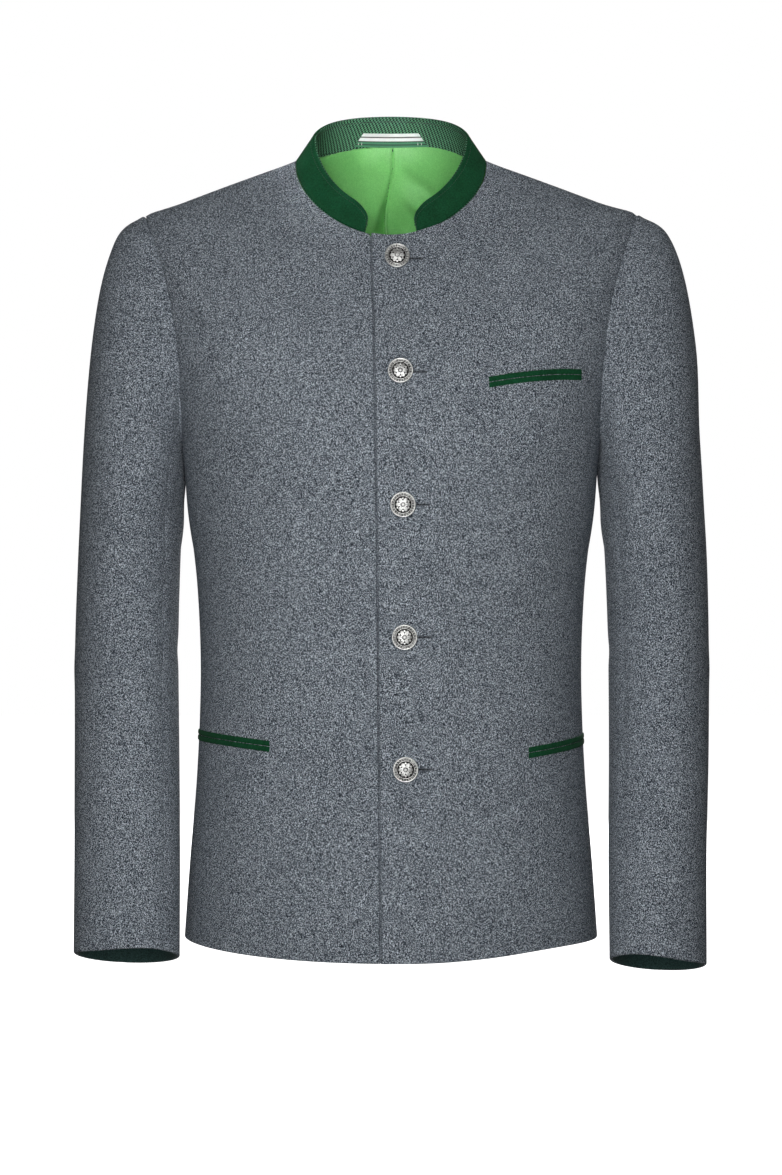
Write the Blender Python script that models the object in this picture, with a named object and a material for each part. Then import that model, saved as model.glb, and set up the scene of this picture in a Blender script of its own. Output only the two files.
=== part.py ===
"""Tyrolean loden jacket, hollow and filled out as it is worn, with nobody in it.

Metres, +Z up. The front faces -Y and the wearer's left is +X. The origin is on the centre plane,
level with the side of the neck and above the shoulder seams, where the shoulders carry the jacket.

The body is cut from one smooth form, a stack of rings from hem to neck. A place on the form is a
level (a row of the FORM table, fractions allowed), a face (front or back) and a distance along the
ring from the centre line, in metres, positive to the wearer's left.
"""
import math
from functools import lru_cache

import bmesh
import bpy
from mathutils import Vector

# ---- cloth and seams -------------------------------------------------------------------------
LODEN = 0.0024              # wool cloth with its interlining
COLLAR_CLOTH = 0.0018
THIN_CLOTH = 0.0010         # satin lining, facings and pocket jets
SEAM_GAP = 0.0003           # between pieces that are sewn edge to edge
LAYER_GAP = 0.0004          # between pieces that lie on each other

FRONT, BACK = "front", "back"
LEFT, RIGHT = 1, -1         # the wearer's sides, as the sign of X

# ---- the form: one row for each ring ---------------------------------------------------------
# Where the ring crosses the centre front, the side seam and the centre back, how square its front and
# back are, how much of that squareness is left at the side, and how steeply it passes the side.
FORM_COLUMNS = ("front_y", "front_z", "side_x", "side_z", "back_y", "back_z",
                "front_full", "back_full", "corner", "steep")
FORM = {
    "hem":             (-0.1400, -0.7165, 0.1890, -0.7060, 0.1250, -0.7150, 0.62, 0.60, 1.00, 0.00),
    "seat":            (-0.1385, -0.6400, 0.1838, -0.6330, 0.1220, -0.6380, 0.62, 0.60, 1.00, 0.00),
    "hip":             (-0.1355, -0.5600, 0.1775, -0.5550, 0.1100, -0.5580, 0.61, 0.60, 1.00, 0.00),
    "waist":           (-0.1335, -0.4700, 0.1743, -0.4660, 0.0960, -0.4680, 0.60, 0.60, 1.00, 0.00),
    "high waist":      (-0.1360, -0.3950, 0.1772, -0.3880, 0.0990, -0.3880, 0.60, 0.61, 1.00, 0.00),
    "ribs":            (-0.1400, -0.3350, 0.1842, -0.3230, 0.1110, -0.3200, 0.61, 0.62, 1.00, 0.00),
    "underarm":        (-0.1415, -0.2850, 0.1890, -0.2680, 0.1210, -0.2620, 0.63, 0.64, 1.00, 0.00),
    "low armhole":     (-0.1395, -0.2460, 0.2010, -0.2080, 0.1290, -0.2070, 0.64, 0.64, 0.96, 0.00),
    "mid armhole":     (-0.1330, -0.2110, 0.2130, -0.1490, 0.1330, -0.1540, 0.65, 0.63, 0.88, 0.00),
    "high armhole":    (-0.1225, -0.1780, 0.2215, -0.0930, 0.1300, -0.1060, 0.63, 0.60, 0.74, 0.00),
    "shoulder tip":    (-0.1100, -0.1500, 0.2260, -0.0460, 0.1220, -0.0680, 0.60, 0.57, 0.56, 0.00),
    "outer shoulder":  (-0.0980, -0.1255, 0.1900, -0.0335, 0.1110, -0.0400, 0.58, 0.56, 0.52, 0.00),
    "mid shoulder":    (-0.0870, -0.1050, 0.1500, -0.0185, 0.0975, -0.0180, 0.57, 0.55, 0.60, 0.10),
    "near neck":       (-0.0770, -0.0875, 0.1140, -0.0055, 0.0810, 0.0040, 0.55, 0.55, 0.80, 0.30),
    "neck":            (-0.0680, -0.0718, 0.0878, 0.0035, 0.0650, 0.0225, 0.49, 0.56, 1.12, 0.50),
}
FORM_ROWS = list(FORM.values())
LEVEL = {name: float(number) for number, name in enumerate(FORM)}
RING_STEPS = 48
ROUNDING = 0.9              # levels over which the form is rounded, fading out towards the side
HEM, UNDERARM, SHOULDER_TIP, NECK = (LEVEL[name] for name in ("hem", "underarm", "shoulder tip", "neck"))

# ---- panels ----------------------------------------------------------------------------------
TORSO_STEPS, ARMHOLE_STEPS, SHOULDER_STEPS = 12, 9, 5
ARMHOLE_DEPTH = {FRONT: 0.066, BACK: 0.058}     # how far the armhole cuts in from the side
ARMHOLE_ROUND = 0.65                            # 1 is an oval, less is slimmer at both ends
BUTTON_LINE = {"neck": 0.0045, "hem": 0.0140}   # X of the button line at each end of the front
EDGE_BEYOND_BUTTONS = 0.0225                    # the lap's edge, to the wearer's right of the buttons
LAP_STRIPS, LAP_STRIP = 3, 0.016                # columns that both fronts share where they lap
LAP_FADE = 0.026                                # where the lap sinks back to the form

# ---- sleeves: one row for each ring below the cap ----------------------------------------------
# Centre, half widths across for the wearer's right and left, half depth, and forward lean in degrees.
SLEEVE_COLUMNS = ("z", "x_right", "x_left", "y", "half_right", "half_left", "half_depth", "lean")
SLEEVE = {
    "biceps":    (-0.302, 0.2375, 0.2395, 0.002, 0.0466, 0.0468, 0.0715, 0.0),
    "upper arm": (-0.365, 0.2405, 0.2435, 0.005, 0.0468, 0.0466, 0.0680, 0.0),
    "elbow":     (-0.440, 0.2425, 0.2455, 0.003, 0.0472, 0.0460, 0.0640, 3.0),
    "forearm":   (-0.530, 0.2410, 0.2445, -0.013, 0.0476, 0.0454, 0.0580, 10.0),
    "low arm":   (-0.625, 0.2390, 0.2415, -0.036, 0.0478, 0.0444, 0.0510, 14.0),
    "cuff":      (-0.715, 0.2375, 0.2400, -0.061, 0.0476, 0.0436, 0.0455, 16.0),
}
SLEEVE_ROWS = list(SLEEVE.values())
SLEEVE_DROP = {LEFT: 0.0070, RIGHT: 0.0}        # the left sleeve hangs a little lower at the cuff
AROUND = 2 * ARMHOLE_STEPS                      # columns round a sleeve, as many as round the armhole
CAP_STEPS, ARM_STEPS = 7, 9
FRONT_SEAM, BACK_SEAM = 7, 14                   # columns where top sleeve and under sleeve meet
CUFF_FACING_DEPTH = 0.40                        # rows of the sleeve table that the cuff facing covers

# ---- collar ------------------------------------------------------------------------------------
COLLAR_END = 0.0248                             # distance of each collar end from the centre front
COLLAR_COLUMNS = ("height", "lean")             # stand and inward lean in degrees
COLLAR = {"front": (0.0275, 27.0), "side": (0.0285, 35.0), "back": (0.0310, 12.0)}
COLLAR_TURN = {FRONT: 2, BACK: 4}               # how late the collar turns from back or front to side
COLLAR_CORNER = 0.022                           # length over which the front corner is rounded
COLLAR_ROWS = 3
COLLAR_FRONT_STEPS, COLLAR_BACK_STEPS = 9, 8

# ---- small pieces ------------------------------------------------------------------------------
JET_WIDTH, JET_SLIT, JET_CROWN = 0.0046, 0.0006, 0.0005
POCKET_COLUMNS = ("start", "length", "z_start", "z_end")
POCKETS = {
    "chest_left": (0.0880, 0.0960, -0.2065, -0.1975),
    "hip_left": (0.1270, 0.1150, -0.5335, -0.5245),
    "hip_right": (0.1100, 0.1300, -0.5275, -0.5210),
}
POCKET_STEPS = 8
BUTTON_COUNT, BUTTON_TOP_Z, BUTTON_FOOT_Z = 5, -0.0950, -0.5465
BUTTON_SECOND_Z = -0.1985                       # the first gap leans with the chest, so it is shorter
BUTTON_SEGMENTS, BUTTON_PETALS, PETAL_RELIEF = 24, 8, 0.00035
BUTTON_PROFILE_COLUMNS = ("radius", "height", "relief")
BUTTON_PROFILE = {
    "shank foot": (0.0026, 0.0004, 0),
    "shank top":  (0.0026, 0.0014, 0),
    "underside":  (0.0096, 0.0016, 0),
    "rim side":   (0.0112, 0.0027, 0),
    "rim top":    (0.0104, 0.0037, 0),
    "groove":     (0.0088, 0.0030, 0),
    "petals":     (0.0068, 0.0042, 1),
    "petal root": (0.0030, 0.0049, -1),
}
BUTTON_CROWN = 0.0051
BUTTON_DROOP = 0.60                             # how far a button on its shank hangs back to upright
LOOP_HALF, LOOP_HEIGHT, LOOP_BOTTOM, LOOP_STEPS = 0.031, 0.0105, 0.0255, 6

# ---- colours: base colour, roughness, metallic -------------------------------------------------
LOOKS = {
    "loden": ((0.100, 0.122, 0.150), 0.95, 0.0),
    "collar cloth": ((0.006, 0.062, 0.026), 0.90, 0.0),
    "collar facing": ((0.020, 0.110, 0.060), 0.85, 0.0),
    "satin lining": ((0.120, 0.420, 0.110), 0.45, 0.0),
    "cuff facing": ((0.010, 0.028, 0.024), 0.85, 0.0),
    "striped tape": ((0.500, 0.600, 0.520), 0.70, 0.0),
    "old silver": ((0.420, 0.415, 0.390), 0.38, 1.0),
}


# ---- the form ------------------------------------------------------------------------------------
def read_table(rows, level):
    """A table read at a fractional row, smooth through every row."""
    last = len(rows) - 1
    row = min(max(int(level), 0), last - 1)
    t = level - row
    here, after = rows[row], rows[row + 1]
    before = rows[row - 1] if row > 0 else [2 * a - b for a, b in zip(here, after)]
    beyond = rows[row + 2] if row + 2 <= last else [2 * b - a for a, b in zip(here, after)]
    return [
        b + 0.5 * t * (c - a + t * (2 * a - 5 * b + 4 * c - d + t * (3 * (b - c) + d - a)))
        for a, b, c, d in zip(before, here, after, beyond)
    ]


def bezier(start, start_handle, end_handle, end, t):
    """A point on a cubic curve."""
    s = 1 - t
    return s**3 * start + 3 * s * s * t * start_handle + 3 * s * t * t * end_handle + t**3 * end


@lru_cache(maxsize=None)
def ring_curve(level, face):
    """The four points of the curve that a ring follows from its centre to the left side."""
    row = dict(zip(FORM_COLUMNS, read_table(FORM_ROWS, level)))
    y, z, full = row[face + "_y"], row[face + "_z"], row[face + "_full"]
    centre, side = Vector((0, y, z)), Vector((row["side_x"], 0, row["side_z"]))
    centre_handle = centre + Vector((full * side.x, 0, 0))
    side_handle = side + Vector((0, row["corner"] * full * y, row["steep"] * (z - side.z)))
    return centre, centre_handle, side_handle, side


@lru_cache(maxsize=None)
def ring_runs(level, face):
    """Lengths along a ring from its centre, at even steps of the curve."""
    curve = ring_curve(level, face)
    points = [bezier(*curve, step / RING_STEPS) for step in range(RING_STEPS + 1)]
    runs = [0.0]
    for before, after in zip(points, points[1:]):
        runs.append(runs[-1] + (after - before).length)
    return runs


def ring_length(level, face):
    """Length of the ring from the centre line to the side."""
    return ring_runs(level, face)[-1]


def on_form(level, face, distance):
    """The point of the form at a level and a signed distance from the centre line."""
    runs = ring_runs(level, face)
    reach = abs(distance)
    step = 0
    while step < RING_STEPS - 1 and runs[step + 1] < reach:
        step += 1
    t = (step + (reach - runs[step]) / (runs[step + 1] - runs[step])) / RING_STEPS
    rounding = min(ROUNDING * (1 - t**3), level - HEM, NECK - level)
    point = 0.5 * bezier(*ring_curve(level, face), t)
    for near in (level - rounding, level + rounding):
        point += 0.25 * bezier(*ring_curve(near, face), t)
    return Vector((math.copysign(point.x, distance), point.y, point.z))


def form_normal(level, face, distance):
    """The direction out of the form."""
    share = distance / ring_length(level, face)

    def near(up, across):
        there = min(max(level + up, HEM), NECK)
        return on_form(there, face, (share + across) * ring_length(there, face))

    if abs(share) > 0.97:
        share = math.copysign(0.97, share)
    across = near(0, 0.02) - near(0, -0.02)
    up = near(0.04, 0) - near(-0.04, 0)
    out = across.cross(up).normalized()
    return out if face == FRONT else -out


def side_normal(level):
    """The direction out of the form at the side seam, the same for the front and the back."""
    return (form_normal(level, FRONT, ring_length(level, FRONT))
            + form_normal(level, BACK, ring_length(level, BACK))).normalized()


def skin(level, face, distance, out):
    """A point off the form by a distance out."""
    length = ring_length(level, face)
    normal = form_normal(level, face, distance)
    closeness = max(0.0, (abs(distance) / length - 0.85) / 0.15)
    if closeness > 0:
        side = side_normal(level)
        side.x = math.copysign(side.x, distance)
        normal = normal.lerp(side, closeness).normalized()
    return on_form(level, face, distance) + out * normal


def level_at(face, distance, z):
    """The level at which the form is at height z, at a distance from the centre line."""
    low, high = HEM, NECK
    for _ in range(30):
        middle = 0.5 * (low + high)
        if on_form(middle, face, distance).z < z:
            low = middle
        else:
            high = middle
    return 0.5 * (low + high)


# ---- solids ----------------------------------------------------------------------------------------
def look(name):
    """The material of a name in LOOKS, made once."""
    if name in bpy.data.materials:
        return bpy.data.materials[name]
    colour, roughness, metallic = LOOKS[name]
    material = bpy.data.materials.new(name)
    material.use_nodes = True
    shader = material.node_tree.nodes["Principled BSDF"]
    shader.inputs["Base Color"].default_value = (*colour, 1)
    shader.inputs["Roughness"].default_value = roughness
    shader.inputs["Metallic"].default_value = metallic
    material.diffuse_color = (*colour, 1)
    return material


def solid(name, points, triangles, look_name):
    """One closed body as an object of the jacket."""
    shape = bmesh.new()
    vertices = [shape.verts.new(point) for point in points]
    for triangle in triangles:
        shape.faces.new([vertices[corner] for corner in triangle])
    bmesh.ops.recalc_face_normals(shape, faces=shape.faces)
    mesh = bpy.data.meshes.new(name)
    shape.to_mesh(mesh)
    shape.free()
    mesh.materials.append(look(look_name))
    body = bpy.data.objects.new(name, mesh)
    jacket.objects.link(body)
    return body


def wall(name, outer, inner, look_name, closed=False):
    """A wall between two grids of points. Closed walls run round, so the last column meets the first."""
    rows, columns = len(outer), len(outer[0])
    points = [point for grid in (outer, inner) for row in grid for point in row]

    def corner(side, row, column):
        return (side * rows + row) * columns + column % columns

    triangles = []

    def quad(a, b, c, d):
        triangles.extend(((a, b, c), (a, c, d)))

    cells = columns if closed else columns - 1
    for row in range(rows - 1):
        for column in range(cells):
            for side in (0, 1):
                quad(corner(side, row, column), corner(side, row, column + 1),
                     corner(side, row + 1, column + 1), corner(side, row + 1, column))
    for row in (0, rows - 1):
        for column in range(cells):
            quad(corner(0, row, column), corner(0, row, column + 1),
                 corner(1, row, column + 1), corner(1, row, column))
    if not closed:
        for row in range(rows - 1):
            for column in (0, columns - 1):
                quad(corner(0, row, column), corner(0, row + 1, column),
                     corner(1, row + 1, column), corner(1, row, column))
    return solid(name, points, triangles, look_name)


# ---- body panels -------------------------------------------------------------------------------------
def spread(start, end, steps):
    """Evenly spaced values, ends included."""
    return [start + (end - start) * step / steps for step in range(steps + 1)]


def armhole_level(turn):
    """Level of a place on the armhole: turn is 0 at the shoulder tip and half a circle at the underarm."""
    down = min(turn, 2 * math.pi - turn)
    height = ARMHOLE_ROUND * 0.5 * (1 + math.cos(down)) + (1 - ARMHOLE_ROUND) * (1 - down / math.pi)
    return UNDERARM + (SHOULDER_TIP - UNDERARM) * height


def panel_rows():
    """Rows of a panel, hem to neck: the level, and how much of the armhole's depth is cut away there."""
    torso = [(level, 0.0) for level in spread(HEM, UNDERARM, TORSO_STEPS)]
    armhole = [(armhole_level(turn), math.sin(turn)) for turn in spread(math.pi, 0, ARMHOLE_STEPS)]
    shoulder = [(level, 0.0) for level in spread(SHOULDER_TIP, NECK, SHOULDER_STEPS)]
    return torso + armhole[1:-1] + shoulder


def side_edge(row, face):
    """Distance of the panel's outer edge: side seam, armhole, then shoulder seam."""
    level, bite = row
    return ring_length(level, face) - bite * ARMHOLE_DEPTH[face] - 0.5 * SEAM_GAP


def button_line(level):
    """X of the button line."""
    share = (level - HEM) / (NECK - HEM)
    return BUTTON_LINE["hem"] + (BUTTON_LINE["neck"] - BUTTON_LINE["hem"]) * share


def lap_columns(level):
    """Distances of the columns that both fronts share where they lap."""
    edge = button_line(level) - EDGE_BEYOND_BUTTONS
    return [edge + strip * LAP_STRIP for strip in range(LAP_STRIPS + 1)]


def lap_lift(level, distance):
    """How far the left front lies over the form, clear of the right front."""
    past = (distance - lap_columns(level)[-1] - 0.002) / LAP_FADE
    fade = min(max(past, 0.0), 1.0)
    return (LODEN + LAYER_GAP) * (1 - fade * fade * (3 - 2 * fade))


def left_front():
    """The left front, on top of the lap."""
    outer, inner = [], []
    for row in panel_rows():
        level = row[0]
        lap = lap_columns(level)
        columns = spread(side_edge(row, FRONT), lap[-1], 8)[:-1] + lap[::-1]
        lifts = [lap_lift(level, column) for column in columns]
        outer.append([skin(level, FRONT, column, lift) for column, lift in zip(columns, lifts)])
        inner.append([skin(level, FRONT, column, lift - LODEN) for column, lift in zip(columns, lifts)])
    return wall("front_left", outer, inner, "loden")


def right_front():
    """The right front, which runs on under the left one."""
    outer, inner = [], []
    for row in panel_rows():
        level = row[0]
        lap = lap_columns(level)
        columns = spread(-side_edge(row, FRONT), lap[0], 8)[:-1] + lap
        outer.append([skin(level, FRONT, column, 0) for column in columns])
        inner.append([skin(level, FRONT, column, -LODEN) for column in columns])
    return wall("front_right", outer, inner, "loden")


def back_grid(side, out, first_level=0.0, first_column=0):
    """Points of a back panel from its side to its centre seam, off the form by a distance out."""
    grid = []
    for row in panel_rows():
        if row[0] >= first_level:
            columns = spread(side_edge(row, BACK), 0.5 * SEAM_GAP, 9)[first_column:]
            grid.append([skin(row[0], BACK, side * column, out) for column in columns])
    return grid


def back_panel(name, side):
    """Half of the back."""
    return wall(name, back_grid(side, 0), back_grid(side, -LODEN), "loden")


def back_lining(name, side):
    """Satin lining of the upper back, on the panel's own points, short of the armhole."""
    near_side = -LODEN - LAYER_GAP
    outer = back_grid(side, near_side, UNDERARM, 1)
    inner = back_grid(side, near_side - THIN_CLOTH, UNDERARM, 1)
    return wall(name, outer, inner, "satin lining")


# ---- sleeves -------------------------------------------------------------------------------------------
def armhole_point(side, turn):
    """A point of the armhole: turn is 0 at the shoulder tip, runs down the front and up the back."""
    level = armhole_level(turn)
    face = FRONT if turn <= math.pi else BACK
    cut = ARMHOLE_DEPTH[face] * abs(math.sin(turn))
    point = on_form(level, face, ring_length(level, face) - cut)
    return Vector((side * (point.x + 0.0006), point.y, point.z))


def sleeve_ring_point(side, row, turn):
    """A point on the tube of the arm: row counts down the SLEEVE table."""
    ring = dict(zip(SLEEVE_COLUMNS, read_table(SLEEVE_ROWS, row)))
    name = "left" if side == LEFT else "right"
    drop = SLEEVE_DROP[side] * row / (len(SLEEVE_ROWS) - 1)
    across = ring["half_" + name] * math.cos(turn)
    along = -ring["half_depth"] * math.sin(turn)
    lean = math.radians(ring["lean"])
    return Vector((side * (ring["x_" + name] + across),
                   ring["y"] + along * math.cos(lean),
                   ring["z"] - drop - along * math.sin(lean)))


def sleeve_point(side, travel, turn):
    """A point of the sleeve: travel runs 0 to 1 down the cap, then on by rows of the SLEEVE table."""
    if travel > 1:
        return sleeve_ring_point(side, travel - 1, turn)
    start, end = armhole_point(side, turn), sleeve_ring_point(side, 0, turn)
    over = 0.5 * (1 + math.cos(turn))            # 1 at the shoulder tip, 0 at the underarm
    leave = Vector((side * (0.15 + 0.85 * over), -0.20 * math.sin(turn), -0.36 - 0.64 * (1 - over)))
    below = sleeve_ring_point(side, 0.05, turn)
    arrive = (end - below).normalized()
    start_handle = start + (0.010 + 0.026 * over) * leave.normalized()
    end_handle = end + (0.012 + 0.188 * over * over) * arrive
    return bezier(start, start_handle, end_handle, end, travel)


def sleeve_normal(side, travel, turn):
    """The direction out of the sleeve."""
    end = len(SLEEVE_ROWS)
    low, high = max(travel - 0.02, 0.0), min(travel + 0.02, end)
    down = sleeve_point(side, high, turn) - sleeve_point(side, low, turn)
    before = (turn - 0.03) % (2 * math.pi)
    after = (turn + 0.03) % (2 * math.pi)
    across = sleeve_point(side, travel, after) - sleeve_point(side, travel, before)
    return side * across.cross(down).normalized()


def sleeve_travels():
    """Rows of a sleeve, armhole to cuff."""
    end = len(SLEEVE_ROWS)
    return spread(0, 1, CAP_STEPS)[:-1] + spread(1, end, ARM_STEPS)


def sleeve_grid(side, travels, turns, out):
    """Points of the sleeve, off its form by a distance out."""
    return [[sleeve_point(side, travel, turn) + out * sleeve_normal(side, travel, turn)
             for turn in turns] for travel in travels]


def sleeve_piece(name, side, first, last):
    """A piece of the sleeve between two seams, given as columns round the armhole."""
    step = 2 * math.pi / AROUND
    trim = 0.2 * math.pi / 180
    turns = [column * step for column in range(first, last + 1)]
    turns[0] += trim
    turns[-1] -= trim
    turns = [turn % (2 * math.pi) for turn in turns]
    outer = sleeve_grid(side, sleeve_travels(), turns, 0)
    inner = sleeve_grid(side, sleeve_travels(), turns, -LODEN)
    return wall(name, outer, inner, "loden")


def cuff_facing(name, side):
    """Dark facing inside the cuff, all round."""
    step = 2 * math.pi / AROUND
    turns = [column * step for column in range(AROUND)]
    end = len(SLEEVE_ROWS)
    travels = spread(end - CUFF_FACING_DEPTH, end, 2)
    near_side = -LODEN - LAYER_GAP
    outer = sleeve_grid(side, travels, turns, near_side)
    inner = sleeve_grid(side, travels, turns, near_side - THIN_CLOTH)
    return wall(name, outer, inner, "cuff facing", closed=True)


# ---- collar ----------------------------------------------------------------------------------------------
def collar_stations():
    """Places along the neckline, from the right collar end round the back to the left one."""
    front_length = ring_length(NECK, FRONT) - 0.5 * SEAM_GAP
    back_length = ring_length(NECK, BACK)
    fronts = spread(COLLAR_END, front_length, COLLAR_FRONT_STEPS)
    backs = spread(0, back_length, COLLAR_BACK_STEPS)[:-1]
    right = [(FRONT, -distance) for distance in fronts[:-1]]
    right += [(BACK, -distance) for distance in [back_length] + backs[:0:-1]]
    left = [(face, -distance) for face, distance in reversed(right)]
    return right + [(BACK, 0.0)] + left


def collar_frame(face, distance):
    """Foot, rise and outward direction of the collar at a place along the neckline."""
    foot = on_form(NECK, face, distance)
    length = ring_length(NECK, face)
    sideways = abs(distance) / length
    side_height, side_lean = COLLAR["side"]
    height, lean = COLLAR[face]
    blend = math.sin(0.5 * math.pi * sideways) ** COLLAR_TURN[face]
    height += (side_height - height) * blend
    lean = math.radians(lean + (side_lean - lean) * blend)
    if face == FRONT:
        from_end = min((abs(distance) - COLLAR_END) / COLLAR_CORNER, 1.0)
        height *= 0.50 + 0.50 * math.sqrt(max(1 - (1 - from_end) ** 2, 0.0))
    inward = Vector((-foot.x, -foot.y - 0.004, 0)).normalized()
    rise = math.cos(lean) * Vector((0, 0, 1)) + math.sin(lean) * inward
    outward = math.cos(lean) * -inward + math.sin(lean) * Vector((0, 0, 1))
    return foot, height * rise, outward


def collar_grid(out, foot_gap=0.0006):
    """Points of the collar from foot to top edge, off its outer face by a distance out."""
    rows = []
    for row in range(COLLAR_ROWS + 1):
        line = []
        for face, distance in collar_stations():
            foot, rise, outward = collar_frame(face, distance)
            share = row / COLLAR_ROWS
            line.append(foot + foot_gap * rise.normalized() + share * rise + out * outward)
        rows.append(line)
    return rows


def collar_pieces():
    """The stand collar and its facing."""
    wall("collar", collar_grid(0), collar_grid(-COLLAR_CLOTH), "collar cloth")
    near_side = -COLLAR_CLOTH - SEAM_GAP
    wall("collar_facing", collar_grid(near_side), collar_grid(near_side - THIN_CLOTH), "collar facing")


def hanger_loop():
    """Striped tape across the back of the neck, in front of the facing."""
    outer, inner = [], []
    facing = COLLAR_CLOTH + SEAM_GAP + THIN_CLOTH + LAYER_GAP
    for row in (0, 1):
        line, back_line = [], []
        for distance in spread(-LOOP_HALF, LOOP_HALF, LOOP_STEPS):
            foot, rise, outward = collar_frame(BACK, distance)
            height = LOOP_BOTTOM - foot.z + row * LOOP_HEIGHT
            place = foot + height / rise.normalized().z * rise.normalized()
            line.append(place - facing * outward)
            back_line.append(place - (facing + THIN_CLOTH) * outward)
        outer.append(line)
        inner.append(back_line)
    return wall("hanger_loop", outer, inner, "striped tape")


# ---- pockets and buttons -----------------------------------------------------------------------------------
def jet(name, pocket, band):
    """One of a pocket's two jets, lying on the front. band is 1 for the upper one, -1 for the lower."""
    start, length, z_start, z_end = POCKETS[pocket]
    side = LEFT if pocket.endswith("left") else RIGHT
    near = 0.5 * JET_SLIT
    outer, inner = [], []
    for across in (0, 0.5, 1):
        outer_row, inner_row = [], []
        for share in spread(0, 1, POCKET_STEPS):
            distance = side * (start + length * share)
            z = z_start + (z_end - z_start) * share + band * (near + JET_WIDTH * across)
            level = level_at(FRONT, distance, z)
            lift = lap_lift(level, distance) if side == LEFT else 0.0
            crown = JET_CROWN if across == 0.5 else 0.0
            inner_row.append(skin(level, FRONT, distance, lift + LAYER_GAP))
            outer_row.append(skin(level, FRONT, distance, lift + LAYER_GAP + THIN_CLOTH + crown))
        outer.append(outer_row)
        inner.append(inner_row)
    return wall(name, outer, inner, "collar cloth")


def button_heights():
    """Heights of the buttons, top to bottom."""
    return [BUTTON_TOP_Z] + spread(BUTTON_SECOND_Z, BUTTON_FOOT_Z, BUTTON_COUNT - 2)


def button(name, z):
    """A shank button with a rim and a flower, hanging back to upright where the left front slopes."""
    level = level_at(FRONT, 0.0, z)
    distance = button_line(level)
    foot = skin(level, FRONT, distance, lap_lift(level, distance))
    cloth = form_normal(level, FRONT, distance)
    out = cloth.lerp(Vector((0, -1, 0)), BUTTON_DROOP).normalized()
    lean = cloth.cross(out).length
    stand_off = BUTTON_PROFILE["rim side"][0] * lean
    foot += stand_off * cloth
    shank_radius, shank_clear, _ = BUTTON_PROFILE["shank foot"]
    shank_foot = (shank_clear + shank_radius * lean - stand_off) / cloth.dot(out)
    profile = [(shank_radius, shank_foot, 0)] + list(BUTTON_PROFILE.values())[1:]
    across = Vector((1, 0, 0)) - out.x * out
    across.normalize()
    up = out.cross(across)
    points, triangles = [], []
    for radius, height, relief in profile:
        for segment in range(BUTTON_SEGMENTS):
            turn = 2 * math.pi * segment / BUTTON_SEGMENTS
            raised = height + relief * PETAL_RELIEF * math.cos(BUTTON_PETALS * turn)
            points.append(foot + radius * (math.cos(turn) * across + math.sin(turn) * up) + raised * out)
    rings = len(BUTTON_PROFILE)
    for ring in range(rings - 1):
        for segment in range(BUTTON_SEGMENTS):
            after = (segment + 1) % BUTTON_SEGMENTS
            a, b = ring * BUTTON_SEGMENTS + segment, ring * BUTTON_SEGMENTS + after
            c, d = b + BUTTON_SEGMENTS, a + BUTTON_SEGMENTS
            triangles.extend(((a, b, c), (a, c, d)))
    ends = ((0, shank_foot), (rings - 1, BUTTON_CROWN))
    for ring, height in ends:
        points.append(foot + height * out)
        for segment in range(BUTTON_SEGMENTS):
            after = (segment + 1) % BUTTON_SEGMENTS
            triangles.append((ring * BUTTON_SEGMENTS + segment, ring * BUTTON_SEGMENTS + after,
                              len(points) - 1))
    return solid(name, points, triangles, "old silver")


# ---- build ---------------------------------------------------------------------------------------------------
for old in list(bpy.data.objects):
    bpy.data.objects.remove(old, do_unlink=True)
jacket = bpy.data.collections.new("tyrolean_loden_jacket")
bpy.context.scene.collection.children.link(jacket)

left_front()
right_front()
for word, sign in (("left", LEFT), ("right", RIGHT)):
    back_panel("back_" + word, sign)
    back_lining("back_lining_" + word, sign)
    sleeve_piece("sleeve_top_" + word, sign, BACK_SEAM - AROUND, FRONT_SEAM)
    sleeve_piece("sleeve_under_" + word, sign, FRONT_SEAM, BACK_SEAM)
    cuff_facing("cuff_facing_" + word, sign)
collar_pieces()
hanger_loop()
for pocket_name in POCKETS:
    jet(pocket_name + "_jet_upper", pocket_name, 1)
    jet(pocket_name + "_jet_lower", pocket_name, -1)
for number, height in enumerate(button_heights(), start=1):
    button("button_" + str(number), height)
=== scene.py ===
import math

import bpy
import numpy as np
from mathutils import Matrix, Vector


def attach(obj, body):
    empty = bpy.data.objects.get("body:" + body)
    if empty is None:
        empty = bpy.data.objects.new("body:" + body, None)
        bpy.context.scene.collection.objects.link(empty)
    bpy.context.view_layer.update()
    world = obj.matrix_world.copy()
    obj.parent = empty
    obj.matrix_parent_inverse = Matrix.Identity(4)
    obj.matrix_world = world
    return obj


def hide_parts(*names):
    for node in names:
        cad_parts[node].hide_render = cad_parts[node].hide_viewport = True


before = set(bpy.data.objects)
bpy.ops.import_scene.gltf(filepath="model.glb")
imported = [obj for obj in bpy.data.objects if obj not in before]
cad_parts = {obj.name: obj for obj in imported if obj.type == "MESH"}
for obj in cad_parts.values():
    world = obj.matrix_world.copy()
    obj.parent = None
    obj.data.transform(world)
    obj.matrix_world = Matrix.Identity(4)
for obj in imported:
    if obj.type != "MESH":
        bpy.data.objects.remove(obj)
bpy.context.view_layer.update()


# ---- The room ------------------------------------------------------------------------------------
# The jacket hangs filled out over a white floor that is lit evenly. A tall soft light stands close
# before it and a small one shines into its neck, with broad ones above and behind. The camera is level
# with the waist.
CAMERA_HEIGHT, CAMERA_AWAY, LENS = -0.387, 3.0, 100.19
FLOOR_Z, FLOOR_HALF = -0.86, 9.0
AMBIENT = 0.08

scene = bpy.context.scene
scene.view_settings.view_transform = "Standard"

camera = bpy.data.objects.new("camera", bpy.data.cameras.new("camera"))
camera.data.sensor_width, camera.data.lens = 36.0, LENS
camera.location = (0, -CAMERA_AWAY, CAMERA_HEIGHT)
camera.rotation_euler = (math.radians(90), 0, 0)
scene.collection.objects.link(camera)
scene.camera = camera


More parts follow.
